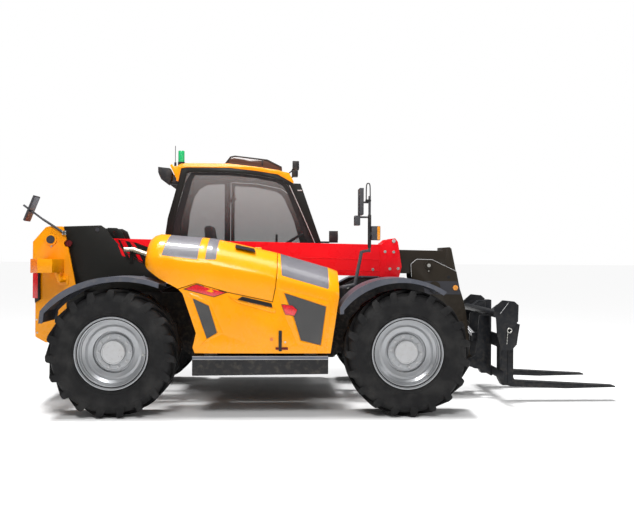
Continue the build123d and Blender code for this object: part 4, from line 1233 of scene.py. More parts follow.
    def lug_piece(self, centre: Point) -> Piece:
        """One swept lug of the outer shoulder.

        Args:
            centre: The wheel's centre.

        Returns:
            The lug.
        """
        edges = []
        for sign in (-1.0, 1.0):
            rail = [
                Vector(centre)
                + Matrix.Rotation(math.radians(sweep), 3, "Y") @ Vector((sign * half, -reach, radius))
                for reach, radius, sweep, half in self.lug
            ]
            edges.append(Bench.chain(f"lug_edge_{sign}", rail, False))
        lug = Bench.join("lug", edges)
        with Bench.editing(lug):
            bpy.ops.mesh.bridge_edge_loops()
            bpy.ops.mesh.select_all(action="SELECT")
            Bench.push(self.lug_root)
        return Bench.soften(Bench.outward(lug), self.lug_edge, angle=40.0)

    def tyre(self, centre: Point) -> Piece:
        """A tyre: a turned carcass with swept lugs on both shoulders.

        Args:
            centre: The wheel's centre.

        Returns:
            The tyre.
        """
        inner = [(radius, -reach) for radius, reach in reversed(self.carcass[:-1])]
        carcass = self.turned("tyre", [*self.carcass, *inner], centre, True)
        lug, pitch = self.lug_piece(centre), TURN / self.lugs_a_side
        with Bench.editing(lug):
            bpy.ops.mesh.spin(
                steps=self.lugs_a_side - 1, angle=TURN - pitch, dupli=True, center=Vector(centre),
                axis=(0.0, 1.0, 0.0),
            )
        flip = Matrix.Translation(centre) @ Matrix.Rotation(pitch / 2, 4, "Y") @ Matrix.Diagonal((1, -1, 1, 1))
        far = Bench.copy(lug, "far_lugs", flip @ Matrix.Translation(-Vector(centre)))
        return Bench.join("tyre", [carcass, lug, far])

    def cap_piece(self, centre: Point) -> Piece:
        """The hub's cap and wheel nuts in cups, with cap screws and a grease nipple.

        Args:
            centre: The wheel's centre.

        Returns:
            The cap with its small parts.
        """
        radius, border, depth = self.cup
        cup = Bench.rod("cup", *self.cup_ends, radius)
        Bench.pick_faces(cup, (0, 0, 1))
        with Bench.editing(cup, whole=False):
            bpy.ops.mesh.inset(thickness=border)
            Bench.push((0.0, 0.0, -depth))
        cup = Bench.join("cup", [cup, Bench.rod("nut", *self.nut), Bench.rod("stud", *self.stud)])
        nipple = Bench.rod("nipple", *self.nipple)
        x, y, z = centre
        face, top = (x, y - self.hub_face, z), (x, y - self.cap_face, z)
        return Bench.join("cap", [
            self.turned("cap", self.cap, centre),
            Bench.scatter("nuts", cup, ring(face, *self.nut_circle), (0, -1, 0)),
            Bench.bolts("screws", *self.screw, ring(top, *self.screw_circle), -1),
            Bench.scatter("nipples", nipple, ring(top, *self.nipple_circle), (0, -1, 0)),
        ])

    def valve(self, centre: Point) -> Piece:
        """The tyre's valve, on the rim's barrel.

        Args:
            centre: The wheel's centre.

        Returns:
            The valve.
        """
        foot = Vector(centre) + Vector(self.valve_foot)
        parts = [Bench.rod("valve", foot, foot + Vector(way), *sizes) for way, *sizes in self.valve_parts]
        return Bench.join("valve", parts)

    def build(self) -> None:
        """Builds one wheel, and sets a copy of it at each corner."""
        centre = (REAR_AXLE, -self.middle, AXLE_HEIGHT)
        parts = (
            ("tyre", self.tyre(centre), Finish.TYRE, "tyre_rubber"),
            ("rim", self.turned("rim", self.rim, centre, True), Finish.RIM, "rim_silver"),
            ("hub", self.turned("hub", self.hub, centre), Finish.RIM, "rim_silver"),
            ("cap", self.cap_piece(centre), Finish.HUB, "rim_silver"),
            ("valve", self.valve(centre), Finish.ZINC, None),
        )
        home = Matrix.Translation(-Vector(centre))
        for end, axle, side, degrees in self.corners:
            corner = f"{end}_{side.tag}"
            turn = Matrix.Rotation(math.radians(degrees), 4, "Y")
            flip = Matrix.Diagonal((1, -side.value, 1, 1))
            goal = Matrix.Translation((axle, side.value * self.middle, AXLE_HEIGHT))
            for kind, pattern, finish, slot in parts:
                piece = Bench.copy(pattern, f"{kind}_of_{corner}", goal @ turn @ flip @ home)
                stands_for = [f"{kind}_{corner}"] if kind in ("tyre", "rim") else []
                self.place(piece, finish, "wheel_" + corner, 38.0, stands_for, slot)
        for _, pattern, _, _ in parts:
            bpy.data.objects.remove(pattern)


# ---------------------------------------------------------------- engine housing


@dataclass
class Housing(SubAssembly):
    """What is moulded, stuck and screwed on the engine housing's side, and the strips of both sills."""

    # Windows, as (frame's name, mesh's name, opening, the frame's outer outline, height of its ridge).
    windows: tuple = (
        (
            "front_frame", "front_window_mesh",
            ((1.565, 1.141), (1.949, 1.017), (1.901, 0.665), (1.719, 0.709), (1.654, 0.922)),
            ((1.492, 1.19), (1.99, 1.068), (1.955, 0.62), (1.69, 0.668), (1.572, 0.932)), 0.009,
        ),
        (
            "rear_frame", "rear_window_mesh", ((0.731, 1.089), (0.88, 1.02), (0.956, 0.777), (0.864, 0.721)),
            ((0.7, 1.148), (0.886, 1.066), (1.014, 0.772), (0.8, 0.65)), 0.008,
        ),
    )
    blade: Outline = (
        (1.05, 1.113), (1.145, 1.07), (1.463, 0.996), (1.474, 1.012), (1.494, 0.985), (1.474, 0.955),
        (1.15, 1.048),
    )
    # Plaques, as (name, outline, finish, margin, height above the skin).
    plaques: tuple = (
        (
            "red_badge", ((0.643, 1.172), (0.763, 1.22), (1.045, 1.143), (0.926, 1.1)), Finish.RED_BADGE,
            0.006, 0.0,
        ),
        (
            "side_label", ((1.14, 1.08), (1.183, 1.108), (1.449, 1.046), (1.459, 1.008)), Finish.LABEL,
            0.004, 0.005,
        ),
        (
            "window_marker", ((1.537, 1.038), (1.638, 1.031), (1.689, 0.988), (1.66, 0.931), (1.574, 0.944)),
            Finish.RED_BADGE, 0.004, 0.007,
        ),
    )
    # The vent is a thin dark plate that paints the shade inside the slot.
    # The vent on the shoulder, as (x, degrees), and the angle that it faces.
    vent: tuple = ((1.105, 84.0), (1.281, 84.0), (1.297, 61.0), (1.106, 61.0))
    vent_lean: float = 72.0
    vent_depth: float = 0.005
    # How far the moulded frames reach under the skin, their lip at the window, and their rounding.
    frame_root: float = 0.008
    frame_lip: float = 0.0012
    frame_edge: float = 0.0022
    # A plaque's tray and face, as (height of its top above or below the rise, thickness, rounding).
    tray: tuple[float, float, float] = (-0.002, 0.005, 0.0012)
    face: tuple[float, float, float] = (0.002, 0.003, 0.001)
    # A window's mesh, as (how much smaller it is, height above the skin, thickness).
    inlay: tuple[float, float, float] = (0.001, 0.0022, 0.0018)
    latch_x: float = 1.531
    # The latch's bar, as (half width, height above the skin, low, high), and the heights of its ribs.
    latch_bar: tuple[float, float, float, float] = (0.0145, 0.01, 0.61, 0.798)
    latch_rib: tuple[float, float, float] = (0.011, 0.0115, 0.008)
    latch_ribs: tuple = (0.68, 0.7, 0.72, 0.74, 0.76)
    latch_foot: tuple[float, float, float, float] = (1.4885, 1.602, 0.624, 0.645)
    round_parts: tuple[Round, ...] = (
        Round("side_marker_ring", Finish.YELLOW, 1.452, 0.7187, 0.0, 0.004, 0.018, 32, 0.0015),
        Round("side_marker", Finish.ORANGE, 1.452, 0.7187, 0.003, 0.006, 0.015, 32, 0.002),
        Round("hood_lock", Finish.ZINC, 1.577, 0.6925, -0.001, 0.007, 0.0085, 24, 0.002),
    )
    # The sills' strips, as (rear, front, low, high), and how far out they are.
    sill: tuple[float, float, float, float] = (0.735, 1.97, 0.534, 0.5655)
    sill_side: float = 1.113

    def surround(self, name: str, window: Outline, outside: Outline, proud: float) -> None:
        """A moulded frame that rises from the skin to a ridge beside its window.

        Args:
            name: The frame's name.
            window: The opening.
            outside: The frame's outer outline.
            proud: The height of the ridge.
        """
        inside = grown(window, 0.003)
        crest, step = between(inside, outside, 0.3), between(inside, outside, 0.12)
        piece = Bench.bands(name, [
            on_skin(outside, -self.frame_root), on_skin(outside, 0.0004), on_skin(crest, proud),
            on_skin(step, proud * 0.9), on_skin(inside, self.frame_lip), on_skin(inside, -self.frame_root),
        ])
        self.place(Bench.soften(piece, self.frame_edge, angle=12.0), Finish.YELLOW, angle=24.0)

    def plaque(self, name: str, outline: Outline, finish: Finish, margin: float, rise: float) -> None:
        """A glossy plaque in a dark tray.

        Args:
            name: The plaque's name.
            outline: The tray's corners.
            finish: The plaque's finish.
            margin: How much of the tray shows round it.
            rise: How far it is above the skin.
        """
        top, thick, edge = self.tray
        tray = Bench.plate(name + "_tray", on_skin(outline, rise + top), (0.0, -thick, 0.0), edge)
        self.place(tray, Finish.LABEL)
        top, thick, edge = self.face
        inner = on_skin(grown(outline, -margin), rise + top)
        self.place(Bench.plate(name, inner, (0.0, -thick, 0.0), edge), finish)

    def vent_slot(self) -> None:
        """A thin dark plate on the hood's shoulder, painting the shade inside its vent slot."""
        corners = [shoulder(x, degrees, -0.001) for x, degrees in self.vent]
        lean = math.radians(self.vent_lean)
        depth = (0.0, -self.vent_depth * math.cos(lean), self.vent_depth * math.sin(lean))
        self.place(Bench.plate("top_vent", corners, depth, 0.001), Finish.LABEL, "hood")

    def latch(self) -> None:
        """The ribbed rubber hold-down and its cross foot."""
        x, y = self.latch_x, -skin(self.latch_x)
        half, rise, low, high = self.latch_bar
        rows = [(Bench.brick, ((x - half, y - rise, low), (x + half, y + 0.002, high)), 0.004)]
        half, rise, tall = self.latch_rib
        for z in self.latch_ribs:
            rows.append((Bench.brick, ((x - half, y - rise, z), (x + half, y - 0.008, z + tall)), 0.0012))
        self.place(Bench.cluster("hood_latch", rows), Finish.TRIM)
        rear, front, low, high = self.latch_foot
        row = (Bench.brick, ((rear, y - 0.009, low), (front, y + 0.002, high)), 0.003)
        self.place(Bench.cluster("latch_foot", [row]), Finish.DARK_RED)

    def sill_strips(self) -> None:
        """The grey tread strip along the top of each sill, between two bright lines."""
        rear, front, low, high = self.sill
        y = self.sill_side
        strip = [(Bench.brick, ((rear, y - 0.01, low), (front, y + 0.003, high)), 0.002)]
        lines = [
            (Bench.brick, ((rear, y - 0.004, z), (front, y + 0.0042, z + 0.0035)), 0.001)
            for z in (low - 0.001, high - 0.0045)
        ]
        for side in Side:
            self.place(Bench.cluster(f"sill_strip_{side.tag}", strip, side.value), Finish.GREY_STRIP)
            self.place(Bench.cluster(f"sill_lines_{side.tag}", lines, side.value), Finish.SILVER_EDGE)

    def build(self) -> None:
        """Builds the frames, meshes, plaques, vent, latch, marker, lock and sill strips."""
        for name, _, window, outside, proud in self.windows:
            self.surround(name, window, outside, proud)
        margin, rise, thick = self.inlay
        for _, name, window, _, _ in self.windows:
            mesh = Bench.plate(name, on_skin(grown(window, -margin), rise), (0.0, -thick, 0.0))
            self.place(mesh, Finish.SIDE_GRILLE)
        blade = Bench.plate("label_blade", on_skin(self.blade, -0.003), (0.0, -0.0095, 0.0), 0.004)
        self.place(blade, Finish.YELLOW)
        for row in self.plaques:
            self.plaque(*row)
        self.vent_slot()
        self.latch()
        for part in self.round_parts:
            self.rounds([part], -skin(part.x), Side.RIGHT)
        self.sill_strips()


# ---------------------------------------------------------------- cab


@dataclass(frozen=True)
class Pad:
    """A soft part of the seat, and where its cover is sewn."""

    name: str
    outline: Outline  # the space that it may fill, seen from the side
    low: float  # where that space starts along Y
    high: float  # where it ends
    rest: Point  # the direction of the side that it rests on
    across: tuple[float, ...]  # seams that run up the pad, as distances from its middle along Y
    along: tuple[float, ...]  # seams that run across the pad, as x or z

    def level(self, spot: Vector) -> float:
        """How far up the pad a spot is: its x on a pad that lies, its z on one that stands."""
        return spot.x - REAR_AXLE if abs(self.rest[2]) > 0.5 else spot.z


def dent(distance: float, depth: float, width: float) -> float:
    """How deep a soft groove is at a distance from its line."""
    return depth * math.exp(-((distance / width) ** 2))


@dataclass
class Cab(SubAssembly):
    """The cab's trim: padded seat, glass border, hatch rails, lamps, beacon, wiper and controls."""

    pads: tuple[Pad, ...] = (
        Pad(
            "seat_cushion", ((0.71, 1.132), (1.17, 1.132), (1.17, 1.252), (0.71, 1.252)), 0.46, 0.94,
            (0.0, 0.0, -1.0), (-0.13, 0.13), (0.88, 1.03),
        ),
        Pad(
            "backrest", ((0.7, 1.192), (0.82, 1.232), (0.74, 1.862), (0.63, 1.842)), 0.465, 0.935,
            (-0.985, 0.0, -0.17), (-0.13, 0.13), (1.4, 1.56, 1.7),
        ),
    )
    pad_inset: float = 0.014
    pad_rounding: float = 0.03
    pad_voxel: float = 0.012
    pad_swell: float = 0.012
    # The cloth: how thick a layer is held at its bed, its pressure, and the frames that it swells for.
    bed_grip: float = 0.004
    pressure: float = 4.0
    frames: int = 20
    # Depths and widths of the seams up the pad, of those across it, and of the welt round its side.
    seam_up: tuple[float, float] = (0.006, 0.007)
    seam_across: tuple[float, float] = (0.005, 0.007)
    welt: tuple[float, float] = (0.004, 0.005)
    welt_height: float = 0.68
    seat_pan: tuple = (
        (Bench.brick, ((0.762, 0.502, 1.072), (1.118, 0.898, 1.134)), 0.008),
        (Bench.brick, ((0.82, 0.925, 1.15), (0.85, 0.94, 1.262)), 0.005),
    )
    pane: Outline = (
        (0.3405, 1.444), (0.3285, 1.7125), (0.353, 1.879), (0.4655, 2.288), (0.5025, 2.359), (0.53, 2.4),
        (0.93, 2.402), (1.24, 2.375), (1.484, 2.334), (1.58, 2.286), (1.63, 2.21), (1.8695, 1.64),
        (1.8995, 1.444),
    )
    border: Outline = (
        (0.41, 1.49), (0.405, 1.72), (0.425, 1.87), (0.51, 2.2), (0.535, 2.3), (0.57, 2.372),
        (0.93, 2.374), (1.23, 2.348), (1.465, 2.304), (1.545, 2.262), (1.59, 2.19), (1.82, 1.63), (1.84, 1.49),
    )
    # Where the border's sheet starts and ends along Y.
    pane_sides: tuple[float, float] = (0.2555, 0.254)
    pillar_line: tuple = (
        (Bench.tube, ((1.615, 0.2395, 2.27), (1.76, 0.2395, 1.955), (1.9, 0.2395, 1.63)), 0.004),
        (Bench.brick, ((1.705, 0.236, 2.207), (1.755, 0.242, 2.219)), 0.002),
    )
    rail: Outline = ((0.889, 2.508), (0.952, 2.592), (1.001, 2.603), (1.364, 2.563), (1.526, 2.483))
    rail_sides: tuple[float, float] = (0.362, 0.976)
    rail_bar: tuple = (0.0085, 12, 0.001)
    # The post half way along a rail, as (x, distance from the rail's middle, z) of two corners.
    rail_post: tuple = ((1.3, -0.008, 2.5), (1.318, 0.008, 2.562))
    # Lenses and rims of the work lamps, as (their middles along Y, maker, places from a middle, *sizes).
    lenses: tuple = (
        ((0.34, 0.998), Bench.brick, ((0.158, -0.05, 2.404), (0.17, 0.05, 2.454)), 0.004),
        ((0.34, 0.998), Bench.rod, ((0.1645, 0.0, 2.392), (0.1945, 0.0, 2.33)), 0.008, 16, 0.003),
        ((0.33, 1.008), Bench.rod, ((1.7175, 0.0, 2.5), (1.7235, 0.0, 2.5)), 0.036, 32, 0.002),
        ((0.272,), Bench.rod, ((2.1535, 0.0, 1.7), (2.1595, 0.0, 1.7)), 0.04, 32, 0.002),
    )
    rims: tuple = (
        ((0.34, 0.998), Bench.brick, ((0.1605, -0.056, 2.398), (0.172, 0.056, 2.46)), 0.004),
        ((0.33, 1.008), Bench.rod, ((1.716, 0.0, 2.5), (1.722, 0.0, 2.5)), 0.042, 32, 0.002),
        ((0.272,), Bench.rod, ((2.152, 0.0, 1.7), (2.158, 0.0, 1.7)), 0.046, 32, 0.002),
    )
    # The beacon's base and collar, and the aerial's foot and wire.
    beacon_base: tuple = (
        (Bench.rod, ((0.368, 0.6, 2.4625), (0.368, 0.6, 2.545)), 0.039, 32, 0.004),
        (Bench.rod, ((0.368, 0.6, 2.54), (0.368, 0.6, 2.562)), 0.0395, 32, 0.003),
        (Bench.rod, ((0.342, 0.33, 2.4625), (0.342, 0.33, 2.52)), 0.0125, 16, 0.003),
        (Bench.rod, ((0.342, 0.33, 2.51), (0.342, 0.33, 2.705)), 0.0035, 8, 0.001),
    )
    dome: tuple = ((Bench.rod, ((0.368, 0.6, 2.556), (0.368, 0.6, 2.691)), 0.0355, 32, 0.014),)
    # Joystick and knob, armrest, screen and its foot.
    controls: tuple = (
        (Bench.tube, ((1.17, 0.42, 1.25), (1.18, 0.42, 1.38), (1.2, 0.43, 1.48)), 0.011),
        (Bench.rod, ((1.195, 0.43, 1.46), (1.215, 0.435, 1.57)), 0.024, 20, 0.01),
        (Bench.brick, ((0.83, 0.39, 1.33), (1.14, 0.455, 1.375)), 0.015),
        (Bench.brick, ((1.46, 0.42, 1.6), (1.485, 0.58, 1.73)), 0.006),
        (Bench.rod, ((1.475, 0.54, 1.61), (1.56, 0.56, 1.55)), 0.01, 12),
    )
    door_handle: tuple = (
        (Bench.tube, ((1.66, 1.1, 1.2), (1.66, 1.1165, 1.2), (1.8, 1.1165, 1.2), (1.8, 1.1, 1.2)), 0.008),
    )
    wiper: tuple = (
        (Bench.tube, ((1.93, 0.66, 1.42), (1.885, 0.66, 1.5), (1.81, 0.7, 1.72)), 0.006),
        (Bench.tube, ((1.875, 0.72, 1.55), (1.8, 0.72, 1.73), (1.72, 0.72, 1.91)), 0.006),
    )

    def cushion(self, pad: Pad) -> None:
        """A crowned pad blown up as cloth, whose cover pulls in at its seams.

        Args:
            pad: The pad.
        """
        inset, outline = self.pad_inset, grown(pad.outline, -self.pad_inset)
        piece = Bench.plate(pad.name, flat(outline, pad.low + inset), (0.0, pad.high - pad.low - 2 * inset, 0.0))
        Bench.soften(piece, self.pad_rounding, 4)
        Bench.modify(piece, "REMESH", mode="VOXEL", voxel_size=self.pad_voxel)
        up = -Vector(pad.rest)
        bed = min(vertex.co.dot(up) for vertex in piece.data.vertices)
        self.blow_up(piece, up, bed)
        Bench.modify(piece, "SUBSURF", levels=1)
        self.sew(piece, pad, up, bed)
        self.place(piece, Finish.FABRIC, angle=0.0, stands_for=["seat"], slot="seat_fabric")
        for face in piece.data.polygons:
            face.use_smooth = True

    def blow_up(self, piece: Piece, up: Vector, bed: float) -> None:
        """Swells a pad as cloth under pressure, held on its bed, with no point moving far.

        Args:
            piece: The pad.
            up: The way from its bed to its crown.
            bed: How far up its bed lies.
        """
        before = [vertex.co.copy() for vertex in piece.data.vertices]
        resting = [vertex.index for vertex in piece.data.vertices if vertex.co.dot(up) < bed + self.bed_grip]
        piece.vertex_groups.new(name="rest").add(resting, 1.0, "REPLACE")
        cloth = piece.modifiers.new("Cloth", "CLOTH")
        cloth.settings.vertex_group_mass = "rest"
        cloth.settings.use_pressure = True
        cloth.settings.uniform_pressure_force = self.pressure
        cloth.settings.quality = 2
        cloth.settings.effector_weights.gravity = 0.0
        cloth.collision_settings.use_collision = False
        for number in range(1, self.frames + 1):
            bpy.context.scene.frame_set(number)
        Bench.pick(piece)
        bpy.ops.object.modifier_apply(modifier=cloth.name)
        bpy.context.scene.frame_set(1)
        for vertex, start in zip(piece.data.vertices, before):
            move = vertex.co - start
            vertex.co = start + move * min(1.0, self.pad_swell / max(move.length, 1e-9))
        piece.vertex_groups.clear()

    def sew(self, piece: Piece, pad: Pad, up: Vector, bed: float) -> None:
        """Pulls a pad's cover in along its seams and its welt.

        Args:
            piece: The pad's mesh.
            pad: Where the seams are.
            up: The way from its bed to its crown.
            bed: How far up its bed lies.
        """
        middle = (pad.low + pad.high) / 2
        height = max(vertex.co.dot(up) for vertex in piece.data.vertices) - bed
        for vertex in piece.data.vertices:
            facing, beside = max(0.0, vertex.normal.dot(up)), vertex.co.y - middle
            press = sum(dent(beside - seam, *self.seam_up) for seam in pad.across)
            if abs(beside) < max(pad.across):
                press += sum(dent(pad.level(vertex.co) - seam, *self.seam_across) for seam in pad.along)
            welt = dent(vertex.co.dot(up) - bed - self.welt_height * height, *self.welt)
            vertex.co -= vertex.normal * (press * facing + welt * (1.0 - facing))

    def glass_border(self) -> None:
        """The black printed border of the right-hand pane, and the pale line along the front pillar."""
        near, far = self.pane_sides
        loops = [flat(self.pane, near), flat(self.border, near), flat(self.border, far), flat(self.pane, far)]
        self.place(Bench.bands("pane_border", loops), Finish.SEAL)
        self.place(Bench.cluster("pillar_line", self.pillar_line), Finish.SILVER_EDGE)

    def hatch(self) -> None:
        """The black rails round the smoked roof hatch, with a post half way."""
        rows = []
        for y in self.rail_sides:
            points = [(x, y, z) for x, z in self.rail]
            rows += [(Bench.rod, pair, *self.rail_bar) for pair in zip(points, points[1:])]
            rows.append((Bench.brick, [(x, y + off, z) for x, off, z in self.rail_post], 0.003))
        for x, z in (self.rail[1], self.rail[3]):
            rows.append((Bench.rod, [(x, y, z) for y in self.rail_sides], *self.rail_bar))
        self.place(Bench.cluster("hatch_rails", rows), Finish.TRIM)

    def lamps(self, name: str, table: tuple, finish: Finish) -> None:
        """The lenses or the rims of the work lamps.

        Args:
            name: The piece's name.
            table: Its parts, with their middles along Y.
            finish: Its finish.
        """
        rows = [
            (make, [(x, middle + y, z) for x, y, z in places], *sizes)
            for middles, make, places, *sizes in table for middle in middles
        ]
        self.place(Bench.cluster(name, rows), finish)

    def build(self) -> None:
        """Builds the cab's trim."""
        for pad in self.pads:
            self.cushion(pad)
        self.place(Bench.cluster("seat_pan", self.seat_pan), Finish.CAB_PLASTIC)
        self.glass_border()
        self.hatch()
        self.lamps("lamp_lenses", self.lenses, Finish.LAMP)
        self.lamps("lamp_rims", self.rims, Finish.SILVER_EDGE)
        base = Bench.cluster("beacon_base", self.beacon_base)
        self.place(base, Finish.TRIM, stands_for=["beacon"], slot="lamp_plastic")
        dome = Bench.soften(Bench.cluster("beacon_dome", self.dome), 0.004, 3, 20.0)
        self.place(dome, Finish.GREEN, angle=50.0)
        self.place(Bench.cluster("controls", self.controls), Finish.TRIM)
        self.place(Bench.cluster("door_handle", self.door_handle), Finish.TRIM, "door")
        self.place(Bench.cluster("wiper", self.wiper), Finish.TRIM)


# ---------------------------------------------------------------- boom


@dataclass
class Boom(SubAssembly):
    """The boom's markings and fixings, from the tower to the head."""

    body = "boom"
    side_y: float = 0.16
    collar_y: float = 0.182
    head_y: float = 0.146
    tower_y: float = 0.33
    sheet: Outline = (
        (-0.2, 1.643), (-0.167, 1.6435), (0.0225, 1.611), (0.165, 1.557), (0.29, 1.495), (0.33, 1.42),
        (0.33, 1.335), (-0.2, 1.335),
    )
    slashes: tuple[Outline, ...] = (
        ((-0.2, 1.643), (-0.168, 1.64), (-0.0875, 1.4666), (-0.1253, 1.4743)),
        ((-0.144, 1.6365), (-0.09, 1.628), (0.005, 1.4304), (-0.0471, 1.4509)),
        ((-0.045, 1.619), (-0.007, 1.612), (0.03, 1.563), (-0.002, 1.555)),
        ((0.015, 1.492), (0.055, 1.487), (0.0919, 1.4166), (0.047, 1.436)),
    )
    # The same slashes where the tower's side panel covers the boom.
    tower_slashes: tuple[Outline, ...] = (
        ((-0.128, 1.588), (-0.112, 1.571), (-0.083, 1.54), (-0.05, 1.4664), (-0.083, 1.4739)),
        ((-0.028, 1.493), (0.004, 1.4735), (0.0166, 1.4715), (0.0385, 1.4375), (-0.0093, 1.451)),
        ((0.072, 1.431), (0.1045, 1.413), (0.1264, 1.4), (0.083, 1.421)),
    )
    folds: tuple[Outline, ...] = (((0.3, 1.5), (2.6, 1.449)), ((0.55, 1.372), (2.6, 1.3285)))
    fold_radius: float = 0.0028
    collar_bolts: Outline = ((2.625, 1.5347), (2.7164, 1.5319), (2.6767, 1.3531), (2.7648, 1.357))
    side_bolt: tuple[float, float] = (2.4993, 1.345)
    # Radius and height of the collar's bolts and of the boss's.
    collar_bolt_size: tuple[float, float] = (0.0105, 0.011)
    boss_bolt_size: tuple[float, float] = (0.013, 0.01)
    collar_pin: Round = Round("collar_pin_{}", Finish.SILVER_EDGE, 2.7159, 1.648, 0.18, 0.192, 0.019, 24, 0.003)
    # The black lug on the boom's top, where it starts and ends along Y, and its lifting hole.
    lug: Outline = ((-0.3095, 1.65), (-0.2778, 1.7643), (-0.188, 1.7629), (-0.1362, 1.7341), (-0.1035, 1.65))
    lug_sides: tuple[float, float] = (0.1185, 0.1435)
    lug_hole: tuple = ((Bench.rod, ((-0.201, 0.1, 1.708), (-0.201, 0.16, 1.708)), 0.0215, 32),)
    # A pale rod along the cheek's top edge: a painted highlight of its rounded edge.
    head_line: Outline = (
        (2.915, 1.27), (2.907, 1.404), (2.967, 1.4565), (3.135, 1.4525), (3.36, 1.347), (3.393, 1.33),
    )
    edge_radius: float = 0.003
    band: Outline = ((3.05, 1.2245), (3.41, 1.2245), (3.447, 1.084), (3.05, 1.084))
    # The boss on the head, with y from the cheek, and the height of its face.
    boss: tuple = (
        (Bench.rod, ((3.097, 0.0, 1.392), (3.097, 0.012, 1.392)), 0.043, 40, 0.004),
        (Bench.rod, ((3.097, 0.01, 1.392), (3.097, 0.017, 1.392)), 0.026, 32, 0.003),
    )
    boss_bolt: Point = (3.097, 0.017, 1.392)
    boss_nipple: tuple = ((Bench.rod, ((3.097, 0.0, 1.332), (3.097, 0.012, 1.332)), 0.006, 12, 0.002),)
    head_rounds: tuple[Round, ...] = (
        Round("head_marker_rim_{}", Finish.TRIM, 3.385, 1.156, 0.0, 0.004, 0.032, 32, 0.001),
        Round("head_marker_{}", Finish.AMBER, 3.385, 1.156, 0.003, 0.008, 0.028, 32, 0.002),
        # A flat dark disc on the cheek: painted shade of the hole there.
        Round("head_hole_{}", Finish.SEAL, 3.315, 1.2676, 0.0, 0.0015, 0.017, 24),
    )

    def markings(self) -> None:
        """The black sheet with red slashes on the boom's rear end, carried on over the tower's panels."""
        self.place(Bench.sheets("boom_sheet", [self.sheet], -self.side_y + 0.0005, -0.0015), Finish.BLACK)
        tables = {
            "boom": (self.slashes, -self.side_y - 0.0004),
            "chassis": (self.tower_slashes, -self.tower_y + 0.0004),
        }
        for body, (rows, y) in tables.items():
            self.place(Bench.sheets(f"red_slashes_{body}", rows, y, -0.0014), Finish.RED, body)

    def section_fixings(self, side: Side) -> None:
        """Lug, fold lines, collar bolts and collar pin of one side.

        Args:
            side: The side.
        """
        out, tag, y = side.value, side.tag, side.value * self.side_y
        start, end = (reach * out for reach in self.lug_sides)
        outline = flat(grown(self.lug, 0.0015), start)
        lug = Bench.plate(f"boom_lug_{tag}", outline, (0.0, end - start, 0.0), 0.003)
        Bench.carve(lug, Bench.cluster("cutter", self.lug_hole, out))
        self.place(lug, Finish.BLACK)
        self.place(Bench.trace(f"boom_folds_{tag}", self.folds, y, self.fold_radius), Finish.RED)
        spots = flat(self.collar_bolts, out * self.collar_y) + flat([self.side_bolt], y)
        self.place(Bench.bolts(f"collar_bolts_{tag}", *self.collar_bolt_size, spots, out), Finish.ZINC)
        self.rounds([self.collar_pin], 0.0, side)

    def raised(self, rows: Iterable[tuple]) -> list[tuple]:
        """Rows of parts, moved from the middle plane out to the head's cheek."""
        y = self.head_y
        return [(make, [(x, y + off, z) for x, off, z in ends], *sizes) for make, ends, *sizes in rows]

    def head(self, side: Side) -> None:
        """Painted highlight line along the top edge, band, boss, dark disc painted for a hole, and reflector on
        one cheek of the head.

        Args:
            side: The cheek's side.
        """
        out, tag, body, y = side.value, side.tag, "boom_extension", side.value * self.head_y

        # A pale rod that paints the highlight along the cheek's top edge.
        edge = Bench.trace(f"head_edge_{tag}", [self.head_line], y, self.edge_radius)
        self.place(edge, Finish.SILVER_EDGE, body)
        band = Bench.sheets(f"head_band_{tag}", [self.band], y - 0.0005 * out, 0.0015 * out)
        self.place(band, Finish.BAND, body)
        self.place(Bench.cluster(f"head_boss_{tag}", self.raised(self.boss), out), Finish.BROWN_BLACK, body)
        x, off, z = self.boss_bolt
        bolt = Bench.bolts(f"boss_bolt_{tag}", *self.boss_bolt_size, [at(x, y + off * out, z)], out)
        nipple = Bench.cluster("nipple", self.raised(self.boss_nipple), out)
        self.place(Bench.join(f"boss_bolt_{tag}", [bolt, nipple]), Finish.ZINC, body)
        self.rounds(self.head_rounds, y, side, body)

    def build(self) -> None:
        """Builds the markings and both sides' fixings."""
        self.markings()
        for side in Side:
            self.section_fixings(side)
            self.head(side)


# ---------------------------------------------------------------- carriage


